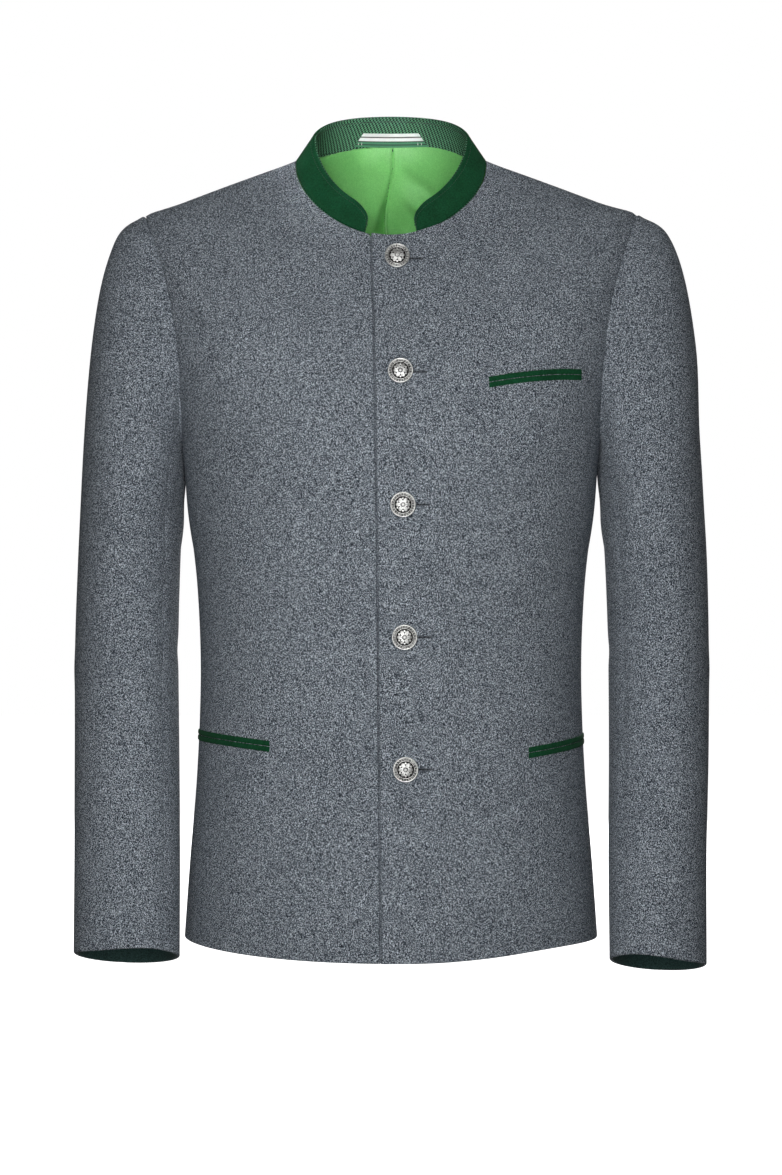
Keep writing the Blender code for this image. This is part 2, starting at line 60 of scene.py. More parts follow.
def soft_light(name, place, aim, size, watts, spread=180):
    """A panel of soft light, wide and tall, with a grid over it where its spread is narrow."""
    panel = bpy.data.lights.new(name, "AREA")
    panel.shape, panel.energy = "RECTANGLE", watts
    panel.size, panel.size_y = size
    panel.spread = math.radians(spread)
    light = bpy.data.objects.new(name, panel)
    light.location = place
    light.rotation_euler = (Vector(aim) - Vector(place)).to_track_quat("-Z", "Y").to_euler()
    light.visible_camera = False
    scene.collection.objects.link(light)


soft_light("front light", (-0.05, -1.25, -0.30), (-0.01, 0, -0.34), (0.5, 1.3), 10.4)
soft_light("neck light", (-0.26, -1.10, 0.62), (0, 0.10, -0.02), (0.12, 0.12), 0.050, 9)
soft_light("top light", (0.3, -0.4, 2.6), (0, 0, -0.3), (2.0, 2.0), 8)
soft_light("back light", (0.5, 3.4, 0.4), (0, 0, -0.38), (2.0, 2.0), 60)

world = bpy.data.worlds.new("pale room")
scene.world = world
world.use_nodes = True
sky = world.node_tree.nodes["Background"]
sky.inputs["Color"].default_value = (1, 1, 1, 1)
seen = world.node_tree.nodes.new("ShaderNodeLightPath")
level_of_light = world.node_tree.nodes.new("ShaderNodeMapRange")
level_of_light.inputs["To Min"].default_value = AMBIENT
level_of_light.inputs["To Max"].default_value = 1.0
world.node_tree.links.new(seen.outputs["Is Camera Ray"], level_of_light.inputs["Value"])
world.node_tree.links.new(level_of_light.outputs["Result"], sky.inputs["Strength"])


class Socket:
    """An output in a material. Arithmetic on it adds Math nodes to the same material."""

    def __init__(self, tree, output=None):
        self.tree, self.output = tree, output

    def join(self, slot, value):
        if isinstance(value, Socket):
            self.tree.links.new(value.output, slot)
        elif value is not None:
            slot.default_value = value

    def node(self, kind, settings, values, output=0):
        """Any other node: its settings first, then what its sockets hold or are joined to."""
        made = self.tree.nodes.new("ShaderNode" + kind)
        for name, value in settings.items():
            if name == "stops":
                stops = made.color_ramp.elements
                for place, colour in value[len(stops):]:
                    stops.new(place)
                for stop, (place, colour) in zip(stops, value):
                    stop.position, stop.color = place, (*colour, 1)
            else:
                setattr(made, name, value)
        for name, value in values.items():
            self.join(made.inputs[name], value)
        return Socket(self.tree, made.outputs[output])

    def math(self, operation, *values):
        return self.node("Math", {"operation": operation}, dict(enumerate(values)))

    def __add__(self, other):
        return self.math("ADD", self, other)

    def __sub__(self, other):
        return self.math("SUBTRACT", self, other)

    def __rsub__(self, other):
        return self.math("SUBTRACT", other, self)

    def __mul__(self, other):
        return self.math("MULTIPLY", self, other)

    def __truediv__(self, other):
        return self.math("DIVIDE", self, other)

    __radd__, __rmul__ = __add__, __mul__

    def clamp(self, low, high):
        """0 at low and 1 at high, smooth between."""
        return self.node("MapRange", {"interpolation_type": "SMOOTHSTEP"},
                         {"Value": self, "From Min": low, "From Max": high})

    def tint(self, below, above):
        """A colour between two, as this goes from 0 to 1."""
        colours = [value if isinstance(value, Socket) else (*value, 1) for value in (below, above)]
        return self.node("Mix", {"data_type": "RGBA"}, {0: self, 6: colours[0], 7: colours[1]}, 2)

    def part(self, name):
        """X, Y or Z of a vector."""
        return self.node("SeparateXYZ", {}, {0: self}, name)

    def noise(self, scale, detail=2.0, roughness=0.5, stretch=(1, 1, 1)):
        """Cloudy values around a half, with features about 1/scale of a metre across."""
        place = self.node("Mapping", {}, {"Vector": self, "Scale": stretch})
        return self.node("TexNoise", {}, {"Vector": place, "Scale": scale, "Detail": detail,
                                          "Roughness": roughness})


def finish_material(name, constants, place="Object"):
    """A new material with its constant values set, its shader, and where a point lies on the piece."""
    material = bpy.data.materials.new(name)
    material.use_nodes = True
    tree = material.node_tree
    shader = tree.nodes["Principled BSDF"]
    for slot, value in constants.items():
        shader.inputs[slot].default_value = value
    return material, shader, Socket(tree).node("TexCoord", {}, {}, place)


def bump(height, strength, distance):
    """A normal raised by a height."""
    return height.node("Bump", {}, {"Height": height, "Strength": strength, "Distance": distance})


floor_mesh = bpy.data.meshes.new("floor")
floor_mesh.from_pydata([(x * FLOOR_HALF, y * FLOOR_HALF, FLOOR_Z)
                        for x, y in ((-1, -1), (1, -1), (1, 1), (-1, 1))], [], [(0, 1, 2, 3)])
floor = bpy.data.objects.new("floor", floor_mesh)
scene.collection.objects.link(floor)
floor_paint, shader, place = finish_material("floor paint", {
    "Roughness": 0.9, "Emission Color": (1, 1, 1, 1), "Emission Strength": 1.0})
place.join(shader.inputs["Base Color"], place.noise(1.5).tint((0.90, 0.90, 0.90), (0.94, 0.94, 0.94)))
floor_mesh.materials.append(floor_paint)
floor.visible_diffuse = floor.visible_glossy = False


# ---- Fronts --------------------------------------------------------------------------------------
# The two fronts are fulled wool loden over interlining, pressed smooth. The left one laps over the
# right one by half a hand's width, with a pressed edge, and both are faced with loden inside.
LODEN = 0.0024
LAYER_GAP = 0.0004
FRONT, BACK, LEFT, RIGHT = "front", "back", 1, -1
FORM_COLUMNS = ("front_y", "front_z", "side_x", "side_z", "back_y", "back_z",
                "front_full", "back_full", "corner", "steep")
FORM = {
    "hem":             (-0.1400, -0.7165, 0.1890, -0.7060, 0.1250, -0.7150, 0.62, 0.60, 1.00, 0.00),
    "seat":            (-0.1385, -0.6400, 0.1838, -0.6330, 0.1220, -0.6380, 0.62, 0.60, 1.00, 0.00),
    "hip":             (-0.1355, -0.5600, 0.1775, -0.5550, 0.1100, -0.5580, 0.61, 0.60, 1.00, 0.00),
    "waist":           (-0.1335, -0.4700, 0.1743, -0.4660, 0.0960, -0.4680, 0.60, 0.60, 1.00, 0.00),
    "high waist":      (-0.1360, -0.3950, 0.1772, -0.3880, 0.0990, -0.3880, 0.60, 0.61, 1.00, 0.00),
    "ribs":            (-0.1400, -0.3350, 0.1842, -0.3230, 0.1110, -0.3200, 0.61, 0.62, 1.00, 0.00),
    "underarm":        (-0.1415, -0.2850, 0.1890, -0.2680, 0.1210, -0.2620, 0.63, 0.64, 1.00, 0.00),
    "low armhole":     (-0.1395, -0.2460, 0.2010, -0.2080, 0.1290, -0.2070, 0.64, 0.64, 0.96, 0.00),
    "mid armhole":     (-0.1330, -0.2110, 0.2130, -0.1490, 0.1330, -0.1540, 0.65, 0.63, 0.88, 0.00),
    "high armhole":    (-0.1225, -0.1780, 0.2215, -0.0930, 0.1300, -0.1060, 0.63, 0.60, 0.74, 0.00),
    "shoulder tip":    (-0.1100, -0.1500, 0.2260, -0.0460, 0.1220, -0.0680, 0.60, 0.57, 0.56, 0.00),
    "outer shoulder":  (-0.0980, -0.1255, 0.1900, -0.0335, 0.1110, -0.0400, 0.58, 0.56, 0.52, 0.00),
    "mid shoulder":    (-0.0870, -0.1050, 0.1500, -0.0185, 0.0975, -0.0180, 0.57, 0.55, 0.60, 0.10),
    "near neck":       (-0.0770, -0.0875, 0.1140, -0.0055, 0.0810, 0.0040, 0.55, 0.55, 0.80, 0.30),
    "neck":            (-0.0680, -0.0718, 0.0878, 0.0035, 0.0650, 0.0225, 0.49, 0.56, 1.12, 0.50),
}
FORM_ROWS = np.array(list(FORM.values()))
HEM, UNDERARM, SHOULDER_TIP, NECK = (float(list(FORM).index(name))
                                     for name in ("hem", "underarm", "shoulder tip", "neck"))
RING_STEPS, ROUNDING = 48, 0.9
ARMHOLE_DEPTH, ARMHOLE_ROUND = {FRONT: 0.066, BACK: 0.058}, 0.65
BUTTON_LINE = {"neck": 0.0045, "hem": 0.0140}
EDGE_BEYOND_BUTTONS, LAP_WIDTH, LAP_FADE = 0.0225, 0.048, 0.026
TORSO_STEPS, ARMHOLE_STEPS, SHOULDER_STEPS, PANEL_STEPS = 84, 40, 24, 40
NEAR_EDGE = np.array([0, 0.00012, 0.0004, 0.0008, 0.0013, 0.0020, 0.0032, 0.0052, 0.0085])  # rows by edges
HEM_ROW, NECK_ROW, NECK_ROWS = 0.0765, 0.022, 0.42    # metres in a row of the form, and rows by the neck
FACING_WIDTH, SEAM_ALLOWANCE, HEM_TURNED_UP, HEM_TOP = 0.075, 0.012, 0.032, -0.7024


def read_table(rows, level):
    """A table read at fractional rows, smooth through every row."""
    rows, level = np.asarray(rows), np.asarray(level, dtype=float)
    row = np.clip(level.astype(int), 0, len(rows) - 2)
    t = (level - row)[..., None]
    ends = np.vstack([2 * rows[0] - rows[1], rows, 2 * rows[-1] - rows[-2]])
    a, b, c, d = (ends[row + step] for step in range(4))
    return b + 0.5 * t * (c - a + t * (2 * a - 5 * b + 4 * c - d + t * (3 * (b - c) + d - a)))


def bezier(curve, t):
    """Points on cubic curves."""
    t = np.asarray(t)[..., None]
    s = 1 - t
    return (s**3 * curve[0] + 3 * s * s * t * curve[1] + 3 * s * t * t * curve[2] + t**3 * curve[3])


def ring_curve(level, face):
    """The four points of the curves that rings of the body follow from centre to left side."""
    row = dict(zip(FORM_COLUMNS, np.moveaxis(read_table(FORM_ROWS, level), -1, 0)))
    y, z, full, side_x = row[face + "_y"], row[face + "_z"], row[face + "_full"], row["side_x"]
    none = np.zeros_like(y)
    centre = np.stack([none, y, z], -1)
    side = np.stack([side_x, none, row["side_z"]], -1)
    return (centre, centre + np.stack([full * side_x, none, none], -1),
            side + np.stack([none, row["corner"] * full * y, row["steep"] * (z - row["side_z"])], -1),
            side)


def ring_runs(level, face):
    """Lengths along rings from their centre."""
    curve = [corner[..., None, :] for corner in ring_curve(level, face)]
    points = bezier(curve, np.linspace(0, 1, RING_STEPS + 1))
    steps = np.linalg.norm(np.diff(points, axis=-2), axis=-1)
    return np.concatenate([np.zeros_like(steps[..., :1]), np.cumsum(steps, -1)], -1)


def ring_length(level, face):
    """Length of rings from the centre line to the side."""
    return ring_runs(level, face)[..., -1]


def on_form(level, face, distance):
    """Points of the body at levels and signed distances from the centre line."""
    level, distance = np.broadcast_arrays(np.asarray(level, float), np.asarray(distance, float))
    runs, reach = ring_runs(level, face), np.abs(distance)
    step = np.minimum((runs[..., 1:] < reach[..., None]).sum(-1), RING_STEPS - 1)[..., None]
    low, high = (np.take_along_axis(runs, step + after, -1)[..., 0] for after in (0, 1))
    t = (step[..., 0] + (reach - low) / (high - low)) / RING_STEPS
    rounding = np.minimum(np.minimum(ROUNDING * (1 - t**3), level - HEM), NECK - level)
    point = 0.5 * bezier(ring_curve(level, face), t)
    for near in (level - rounding, level + rounding):
        point += 0.25 * bezier(ring_curve(near, face), t)
    point[..., 0] = np.copysign(point[..., 0], distance)
    return point


def unit(vectors):
    return vectors / np.linalg.norm(vectors, axis=-1, keepdims=True)


def form_normal(level, face, distance):
    """Directions out of the body."""
    share = np.clip(distance / ring_length(level, face), -0.97, 0.97)

    def near(up, across):
        there = np.clip(level + up, HEM, NECK)
        return on_form(there, face, (share + across) * ring_length(there, face))

    out = unit(np.cross(near(0, 0.02) - near(0, -0.02), near(0.04, 0) - near(-0.04, 0)))
    return out if face == FRONT else -out


def body_normal(level, face, distance):
    """Directions out of the body, the same from both faces at the side."""
    level, distance = np.broadcast_arrays(np.asarray(level, float), np.asarray(distance, float))
    out = form_normal(level, face, distance)
    side = unit(sum(form_normal(level, each, ring_length(level, each)) for each in (FRONT, BACK)))
    side[..., 0] = np.copysign(side[..., 0], distance)
    close = np.clip((np.abs(distance) / ring_length(level, face) - 0.85) / 0.15, 0, 1)[..., None]
    return unit(out * (1 - close) + side * close)


def body_level_at(face, distance, z):
    """Levels at which the body is at a height, at distances from the centre line."""
    distance, z = np.broadcast_arrays(np.asarray(distance, float), np.asarray(z, float))
    low, high = np.full(z.shape, HEM), np.full(z.shape, NECK)
    for _ in range(26):
        middle = 0.5 * (low + high)
        below = on_form(middle, face, distance)[..., 2] < z
        low, high = np.where(below, middle, low), np.where(below, high, middle)
    return 0.5 * (low + high)


def button_line(level):
    """X of the button line."""
    share = (level - HEM) / (NECK - HEM)
    return BUTTON_LINE["hem"] + (BUTTON_LINE["neck"] - BUTTON_LINE["hem"]) * share


def smooth(share):
    """0 to 1, level at both ends."""
    share = np.clip(share, 0, 1)
    return share * share * (3 - 2 * share)


def lap_lift(level, distance):
    """How far the left front lies over the right one."""
    past = (distance - button_line(level) + EDGE_BEYOND_BUTTONS - LAP_WIDTH - 0.002) / LAP_FADE
    return (LODEN + LAYER_GAP) * (1 - smooth(past))


def armhole_level(turn):
    """Level of the armhole: turn is 0 at the shoulder tip and half a circle at the underarm."""
    down = np.minimum(turn, 2 * math.pi - turn)
    height = ARMHOLE_ROUND * 0.5 * (1 + np.cos(down)) + (1 - ARMHOLE_ROUND) * (1 - down / math.pi)
    return UNDERARM + (SHOULDER_TIP - UNDERARM) * height


def panel_rows(first=HEM):
    """Levels of a panel's rows from hem to neck, and its width lost to the armhole at each."""
    torso = np.linspace(HEM, UNDERARM, TORSO_STEPS + 1)
    torso = np.concatenate([HEM + NEAR_EDGE / HEM_ROW, torso[torso > HEM + NEAR_EDGE[-1] / HEM_ROW]])
    turns = np.linspace(math.pi, 0, ARMHOLE_STEPS + 1)[1:-1]
    shoulder = np.linspace(SHOULDER_TIP, NECK, SHOULDER_STEPS + 1)
    shoulder = np.concatenate([shoulder[shoulder < NECK - NECK_ROWS],
                               NECK - NEAR_EDGE[::-1] / NECK_ROW])
    levels = np.concatenate([torso, armhole_level(turns), shoulder])
    bites = np.concatenate([0 * torso, np.sin(turns), 0 * shoulder])
    keep = levels >= first
    return levels[keep], bites[keep]


def between(start, end, steps):
    """Places across each row of a panel, close together by both edges."""
    start, end = start[:, None], end[:, None]
    inner = np.linspace(0, 1, steps + 1)[1:-1]
    middle = start + NEAR_EDGE[-1] + (end - start - 2 * NEAR_EDGE[-1]) * inner
    return np.concatenate([start + NEAR_EDGE, middle, end - NEAR_EDGE[::-1]], 1)


def creases(table, across, up):
    """Heights of soft folds, each along a line, with its width and height."""
    height = np.zeros(np.broadcast(across, up).shape)
    for start_x, start_z, end_x, end_z, width, depth in table:
        line_x, line_z = end_x - start_x, end_z - start_z
        length = math.hypot(line_x, line_z)
        along = ((across - start_x) * line_x + (up - start_z) * line_z) / length**2
        off = ((across - start_x) * line_z - (up - start_z) * line_x) / length
        fade = np.sin(math.pi * np.clip(along, 0, 1)) ** 0.8
        height += depth * np.exp(-(off / width) ** 2) * fade
    return height


def runs_along(points, axis):
    """Distances from both ends of a grid, along one of its axes."""
    steps = np.linalg.norm(np.diff(points, axis=axis), axis=-1)
    start = np.concatenate([np.zeros_like(steps.take([0], axis)), np.cumsum(steps, axis)], axis)
    return start, start.take([-1], axis) - start


def add_piece(name, mesh):
    """A piece of the jacket from its mesh."""
    mesh.update()
    piece = bpy.data.objects.new(name, mesh)
    scene.collection.objects.link(piece)
    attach(piece, "root")
    return piece


def cells(grid, axis=-1):
    """The four corners of every cell of a grid."""
    return np.stack([grid[:-1, :-1], grid[:-1, 1:], grid[1:, 1:], grid[1:, :-1]], axis)


def cloth_shell(name, points, out, lift, thickness, materials, inner_material=0, closed=False, uv=None,
                rolls=(1, 1, 1, 1)):
    """A thin closed shell on a grid of points, its edges rolled round from face to face. rolls is how
    wide each roll is for the cloth's thickness: at the first and last row, then column."""
    rows, columns = points.shape[:2]
    edges = list(runs_along(points, 0)) + ([] if closed else list(runs_along(points, 1)))
    edge = np.minimum.reduce([run / wide for run, wide in zip(edges, rolls)])
    roll = thickness / 2
    rolled = roll - np.sqrt(np.maximum(roll**2 - (roll - np.minimum(edge, roll)) ** 2, 0))
    lift = np.broadcast_to(lift, (rows, columns))
    outer = points + out * (lift - rolled)[..., None]
    inner = points + out * (lift - thickness + rolled)[..., None]
    numbers = np.arange(rows * columns).reshape(rows, columns)
    border = np.zeros((rows, columns), bool)
    border[[0, -1]] = True
    if not closed:
        border[:, [0, -1]] = True
    inner_numbers = numbers.copy()
    inner_numbers[~border] = rows * columns + np.arange((~border).sum())
    vertices = np.concatenate([outer.reshape(-1, 3), inner[~border]])
    faces, indices, corners = [], [], []
    inner_material = np.broadcast_to(inner_material, (rows, columns))
    for side, grid in enumerate((numbers, inner_numbers)):
        if closed:
            grid = np.concatenate([grid, grid[:, :1]], 1)
        quads = cells(grid)
        faces.append((quads if side == 0 else quads[..., ::-1]).reshape(-1, 4))
        width = quads.shape[1]
        which = inner_material[:-1, :width] if side else np.zeros_like(quads[..., 0])
        indices.append(which.reshape(-1))
        if uv is not None:
            picks = cells(uv, -2)
            corners.append((picks if side == 0 else picks[..., ::-1, :]).reshape(-1, 2))
    faces = np.concatenate(faces)
    row, column = rows // 2, columns // 2
    here, beside, above = outer[row, column], outer[row, column + 1], outer[row + 1, column]
    if np.cross(beside - here, above - here) @ out[row, column] < 0:
        faces = faces[:, ::-1]
        corners = [part.reshape(-1, 4, 2)[:, ::-1].reshape(-1, 2) for part in corners]
    mesh = bpy.data.meshes.new(name)
    mesh.from_pydata(vertices.tolist(), [], faces.tolist())
    for material in materials:
        mesh.materials.append(material)
    mesh.polygons.foreach_set("material_index", np.concatenate(indices).astype(np.int32))
    mesh.polygons.foreach_set("use_smooth", np.ones(len(faces), bool))
    if uv is not None:
        mesh.uv_layers.new(name="cut").data.foreach_set("uv", np.concatenate(corners).reshape(-1))
    return add_piece(name, mesh)


def near_tip(points, reach):
    """How near points lie to the shoulder's tip, from 1 at it to 0."""
    row = np.array([SHOULDER_TIP])
    tip = on_form(row, FRONT, ring_length(row, FRONT))[0]
    return np.exp(-(np.linalg.norm(np.abs(points) - np.abs(tip), axis=-1) / reach) ** 2)


def shoulder_ease(side, level, points):
    """How far the shoulder sinks between neck and sleeve, for an even line."""
    middle = np.exp(-((level - SHOULDER_TIP - MIDDLE_ROW) / MIDDLE_REACH) ** 2)
    at_tip = (TIP_SUNK[side] * near_tip(points, TIP_REACH)
              - TIP_EDGE_FILLED[side] * near_tip(points, TIP_EDGE_REACH))
    return -MIDDLE_SUNK * middle - at_tip


def seam_dip(distance, depth=0.0007, width=0.0045):
    """How far pressed cloth sinks towards a seam."""
    return -depth * np.exp(-(distance / width) ** 2)


def side_dip(to_side, level):
    """How far the body sinks towards its side seam, and less towards the armhole."""
    return seam_dip(to_side, ARMHOLE_DIP + SIDE_DIP * (level < UNDERARM))


loden, shader, place = finish_material("grey loden", {
    "Roughness": 0.92, "Specular IOR Level": 0.25,
    "Sheen Weight": 0.08, "Sheen Roughness": 0.55, "Sheen Tint": (0.75, 0.80, 0.88, 1)})
flecks = place.noise(1120, 3.0, 0.62, (1.0, 1.0, 0.95))
fibres = place.noise(1900, 3.0, 0.7, (1.0, 0.7, 0.5))
clouds = place.noise(42, 3.0, 0.55) * 0.6 + place.noise(7, 2.0, 0.5) * 0.4
tone = (flecks - 0.5) * 10.0 + (fibres - 0.5) * 6.5 + (clouds - 0.5) * 0.5
dark_to_mid = tone.clamp(-1.15, 0.20).tint((0.007, 0.010, 0.017), (0.120, 0.146, 0.176))
whole = tone.clamp(0.0, 1.50).tint(dark_to_mid, (0.72, 0.79, 0.86))
place.join(shader.inputs["Base Color"], whole)
place.join(shader.inputs["Normal"], bump(flecks * 0.6 + fibres * 0.4, 0.45, 0.0006))

satin, shader, place = finish_material("green satin", {
    "Specular IOR Level": 0.6, "Sheen Weight": 0.2, "Sheen Roughness": 0.4,
    "Sheen Tint": (0.7, 1.0, 0.6, 1), "Anisotropic": 0.35})
slub = place.noise(900, 1.0, 0.5, (1.0, 1.0, 0.08)) * 0.6 + place.noise(30, 3.0, 0.6) * 0.4
threads = slub * 0.5 + place.noise(1500, 2.0, 0.6).clamp(0.34, 0.66) * 0.5
place.join(shader.inputs["Base Color"], threads.tint((0.115, 0.460, 0.100), (0.270, 0.700, 0.215)))
place.join(shader.inputs["Roughness"], slub * 0.16 + 0.30)
place.join(shader.inputs["Normal"], bump(place.noise(1400, 1.0, 0.5, (1.0, 1.0, 0.15)), 0.12, 0.0002))

EDGE_PRESSED, EDGE_PRESS_WIDTH = 0.0013, 0.0009                 # along the left front's edge
EDGE_TROUGH, TROUGH_BEYOND, TROUGH_WIDTH = 0.0036, 0.0006, 0.00065     # in the right front, under it
TROUGH_ROWS = np.linspace(-0.0040, 0.0020, 17)
ARMHOLE_DIP, SIDE_DIP = 0.0002, 0.0005
MIDDLE_SUNK, MIDDLE_ROW, MIDDLE_REACH = 0.0017, 0.45, 0.35       # the shoulder's middle, in rows
TIP_SUNK, TIP_REACH = {LEFT: 0.0004, RIGHT: 0.0019}, 0.024       # the shoulder's tip
TIP_EDGE_FILLED, TIP_EDGE_REACH = {LEFT: 0.0004, RIGHT: 0.0012}, 0.004
HEM_CUT_AWAY, CUT_AWAY_ROWS = 0.0036 / HEM_ROW, 1.5              # the left hem rises beside the middle
CUT_AWAY_X, CUT_AWAY_WIDTH, CUT_AWAY_FADE = 0.150, 0.065, 0.05
FRONT_CREASES = (   # start x and z, end x and z, width, height
    (0.150, -0.290, 0.095, -0.335, 0.012, -0.0011),
    (0.158, -0.330, 0.110, -0.395, 0.014, 0.0009),
    (0.140, -0.470, 0.060, -0.452, 0.016, -0.0008),
    (0.150, -0.500, 0.075, -0.512, 0.018, 0.0009),
    (0.120, -0.120, 0.165, -0.230, 0.020, 0.0012),
    (0.182, -0.236, 0.174, -0.350, 0.018, 0.0020),
)


def front(name, side):
    """A front, from its edge on the lap to the side seam, armhole and shoulder seam."""
    level, bite = panel_rows()
    outside = side * (ring_length(level, FRONT) - bite * ARMHOLE_DEPTH[FRONT])
    edge = button_line(level) - EDGE_BEYOND_BUTTONS
    if side == LEFT:
        across = between(edge, outside, PANEL_STEPS)
    else:
        across = between(outside, edge + LAP_WIDTH, PANEL_STEPS)
        across = np.sort(np.concatenate([across, edge[:, None] + TROUGH_ROWS], 1), 1)
    level = np.broadcast_to(level[:, None], across.shape)
    past_edge, to_side = across - edge[:, None], np.abs(across - outside[:, None])
    if side == LEFT:
        cut_away = np.exp(-((across - CUT_AWAY_X) / CUT_AWAY_WIDTH) ** 2) * smooth(to_side / CUT_AWAY_FADE)
        level = level + HEM_CUT_AWAY * cut_away * (1 - smooth((level - HEM) / CUT_AWAY_ROWS))
        lift = lap_lift(level, across) - EDGE_PRESSED * np.exp(-(past_edge / EDGE_PRESS_WIDTH) ** 2)
    else:
        lift = -EDGE_TROUGH * np.exp(-((past_edge + TROUGH_BEYOND) / TROUGH_WIDTH) ** 2)
    points, out = on_form(level, FRONT, across), body_normal(level, FRONT, across)
    lift = lift + creases(FRONT_CREASES, side * points[..., 0], points[..., 2])
    lift = lift + side_dip(to_side, level) + shoulder_ease(side, level, points)
    lined = (np.abs(past_edge) > FACING_WIDTH) & (to_side > SEAM_ALLOWANCE) & (points[..., 2] > HEM_TOP)
    rolls = (1, 0.5, 1, 0.25) if side == LEFT else (1, 0.5, 0.25, 1)
    return cloth_shell(name, points, out, lift, LODEN, (loden, satin), lined.astype(int), rolls=rolls)


for name, side, cut, area in (("front_left", LEFT, 0.285, 0.180), ("front_right", RIGHT, 0.305, 0.198)):
    piece = front(name + "_cloth", side)
    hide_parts(name)


# ---- Back ----------------------------------------------------------------------------------------
# Two back panels of the same loden meet in a pressed-open seam down the middle. They are sewn to the
# fronts at the sides and along the shoulders.
BACK_CREASES = (
    (0.150, -0.270, 0.070, -0.300, 0.016, -0.0012),
    (0.155, -0.310, 0.080, -0.380, 0.018, 0.0012),
    (0.130, -0.440, 0.030, -0.455, 0.016, -0.0010),
    (0.125, -0.475, 0.040, -0.492, 0.018, 0.0012),
    (0.060, -0.050, 0.150, -0.120, 0.022, 0.0010),
    (0.182, -0.236, 0.174, -0.350, 0.018, 0.0020),
)


CREASES_FROM_SEAM = 0.02
for name, side in (("back_left", LEFT), ("back_right", RIGHT)):
    level, bite = panel_rows()
    outside = ring_length(level, BACK) - bite * ARMHOLE_DEPTH[BACK]
    across = between(0 * outside, outside, PANEL_STEPS)
    level, to_side = np.broadcast_to(level[:, None], across.shape), outside[:, None] - across
    points, out = on_form(level, BACK, side * across), body_normal(level, BACK, side * across)
    lift = creases(BACK_CREASES, side * points[..., 0], points[..., 2]) * smooth(across / CREASES_FROM_SEAM)
    lift = lift + seam_dip(across) + shoulder_ease(side, level, points) + side_dip(to_side, level)
    lined = (points[..., 2] > HEM_TOP) & (to_side > SEAM_ALLOWANCE)
    piece = cloth_shell(name + "_cloth", points, out, lift, LODEN, (loden, satin), lined.astype(int),
                        rolls=(1, 0.5, 0.4, 0.25))
    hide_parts(name)


# ---- Back lining ---------------------------------------------------------------------------------
# Green satin lines the upper back, in two halves joined by a middle seam. A soft pleat beside the
# seam gives it ease, and the satin falls in small folds from the collar.
LINING = 0.0006
LINING_SEAM = (     # z, x of the middle seam
    (-0.0900, 0.0010), (-0.0557, -0.0047), (-0.0361, -0.0066), (-0.0211, -0.0056),
    (-0.0015, -0.0019), (0.0107, 0.0019), (0.0238, 0.0028))
EASE, LINING_HUNG = 0.0150, 0.0042       # how far it hangs off the back, and off the neck's edge
PLEAT_DEPTH, PLEAT_TOP, PLEAT_OPENS = 0.0140, 0.004, 0.070
PLEAT_WIDTH, PLEAT_SPREAD, PLEAT_EDGE = 0.0010, 0.0085, 0.0012
SEAM_RIDGE, SEAM_RIDGE_WIDTH = 0.0007, 0.0006
PUCKER, PUCKER_Z, PUCKER_REACH = 0.0008, 0.022, 0.007
LINING_FOLDS = (    # start x and z, end x and z, width, height
    (-0.060, 0.020, -0.006, 0.010, 0.0032, 0.0020),
    (-0.050, 0.004, -0.012, -0.034, 0.0050, 0.0044),
    (-0.060, -0.014, -0.022, -0.058, 0.0046, -0.0040),
    (-0.040, -0.022, -0.014, -0.088, 0.0055, 0.0046),
    (0.000, 0.020, 0.046, 0.012, 0.0028, 0.0016),
    (0.008, 0.008, 0.060, -0.016, 0.0042, -0.0024),
    (0.010, -0.006, 0.052, -0.042, 0.0050, 0.0030),
    (0.006, -0.022, 0.030, -0.086, 0.0046, -0.0024),
    (0.042, 0.006, 0.060, -0.056, 0.0046, 0.0022),
    (0.014, -0.040, 0.050, -0.090, 0.0046, 0.0026),
)
LINING_TOP, LINING_BEND = 0.0072, 0.60     # how far it reaches up the collar, and where it starts to
LINING_SHARE, LINING_STEPS, LINING_EDGE = 0.89, 230, 0.04
NECK_INSIDE, BEND_LEAVES, BEND_ARRIVES = 0.0048, 0.007, 0.005
level, bite = panel_rows(UNDERARM)
half = (ring_length(level, BACK) - bite * ARMHOLE_DEPTH[BACK]) * LINING_SHARE
share = between(-half, half, LINING_STEPS) / half[:, None]
across = half[:, None] * np.sign(share) * np.abs(share) ** 1.5     # closer together by the middle
level = np.broadcast_to(level[:, None], across.shape)
points, out = on_form(level, BACK, across), body_normal(level, BACK, across)
x, z = points[..., 0], points[..., 2]
seam_z, seam_x = np.array(LINING_SEAM).T
past = x - np.interp(z, seam_z, seam_x)
opening = smooth((PLEAT_TOP - z) / PLEAT_OPENS)
pleat_width = np.where(past < 0, PLEAT_WIDTH + PLEAT_SPREAD * opening, PLEAT_EDGE)
pleat = PLEAT_DEPTH * np.exp(-(past / pleat_width) ** 2) * (0.16 + 0.84 * opening)
pleat = pleat + SEAM_RIDGE * np.exp(-(past / SEAM_RIDGE_WIDTH) ** 2)
uneven = 0.55 + 0.45 * np.sin(x * 190 + 1.0) * np.sin(x * 83)
puckers = PUCKER * uneven * np.sin(x * 760 + 3 * np.sin(x * 210))
puckers = puckers * np.exp(-((PUCKER_Z - z) / PUCKER_REACH) ** 2)
off_neck, off_seam = smooth((NECK - level) / 2.2), smooth((NECK - level) / 0.6)
inward = LINING_HUNG + (EASE - LINING_HUNG) * off_neck + (creases(LINING_FOLDS, x, z) - pleat) * off_seam
inward = np.maximum(inward + puckers, 0.0002) * smooth((half[:, None] - np.abs(across)) / LINING_EDGE)
surface = points - (LODEN + LAYER_GAP + inward)[..., None] * out
last = np.flatnonzero(level[:, 0] < NECK - LINING_BEND)[-1]
end, along = points[-1] - NECK_INSIDE * out[-1], points[-1, :, 0] / 0.070
end[:, 2] += LINING_TOP - 0.0037 * along**2 + 0.0029 * along + 0.7 * puckers[-1]
start, climb = surface[last], unit(surface[last] - surface[last - 1])
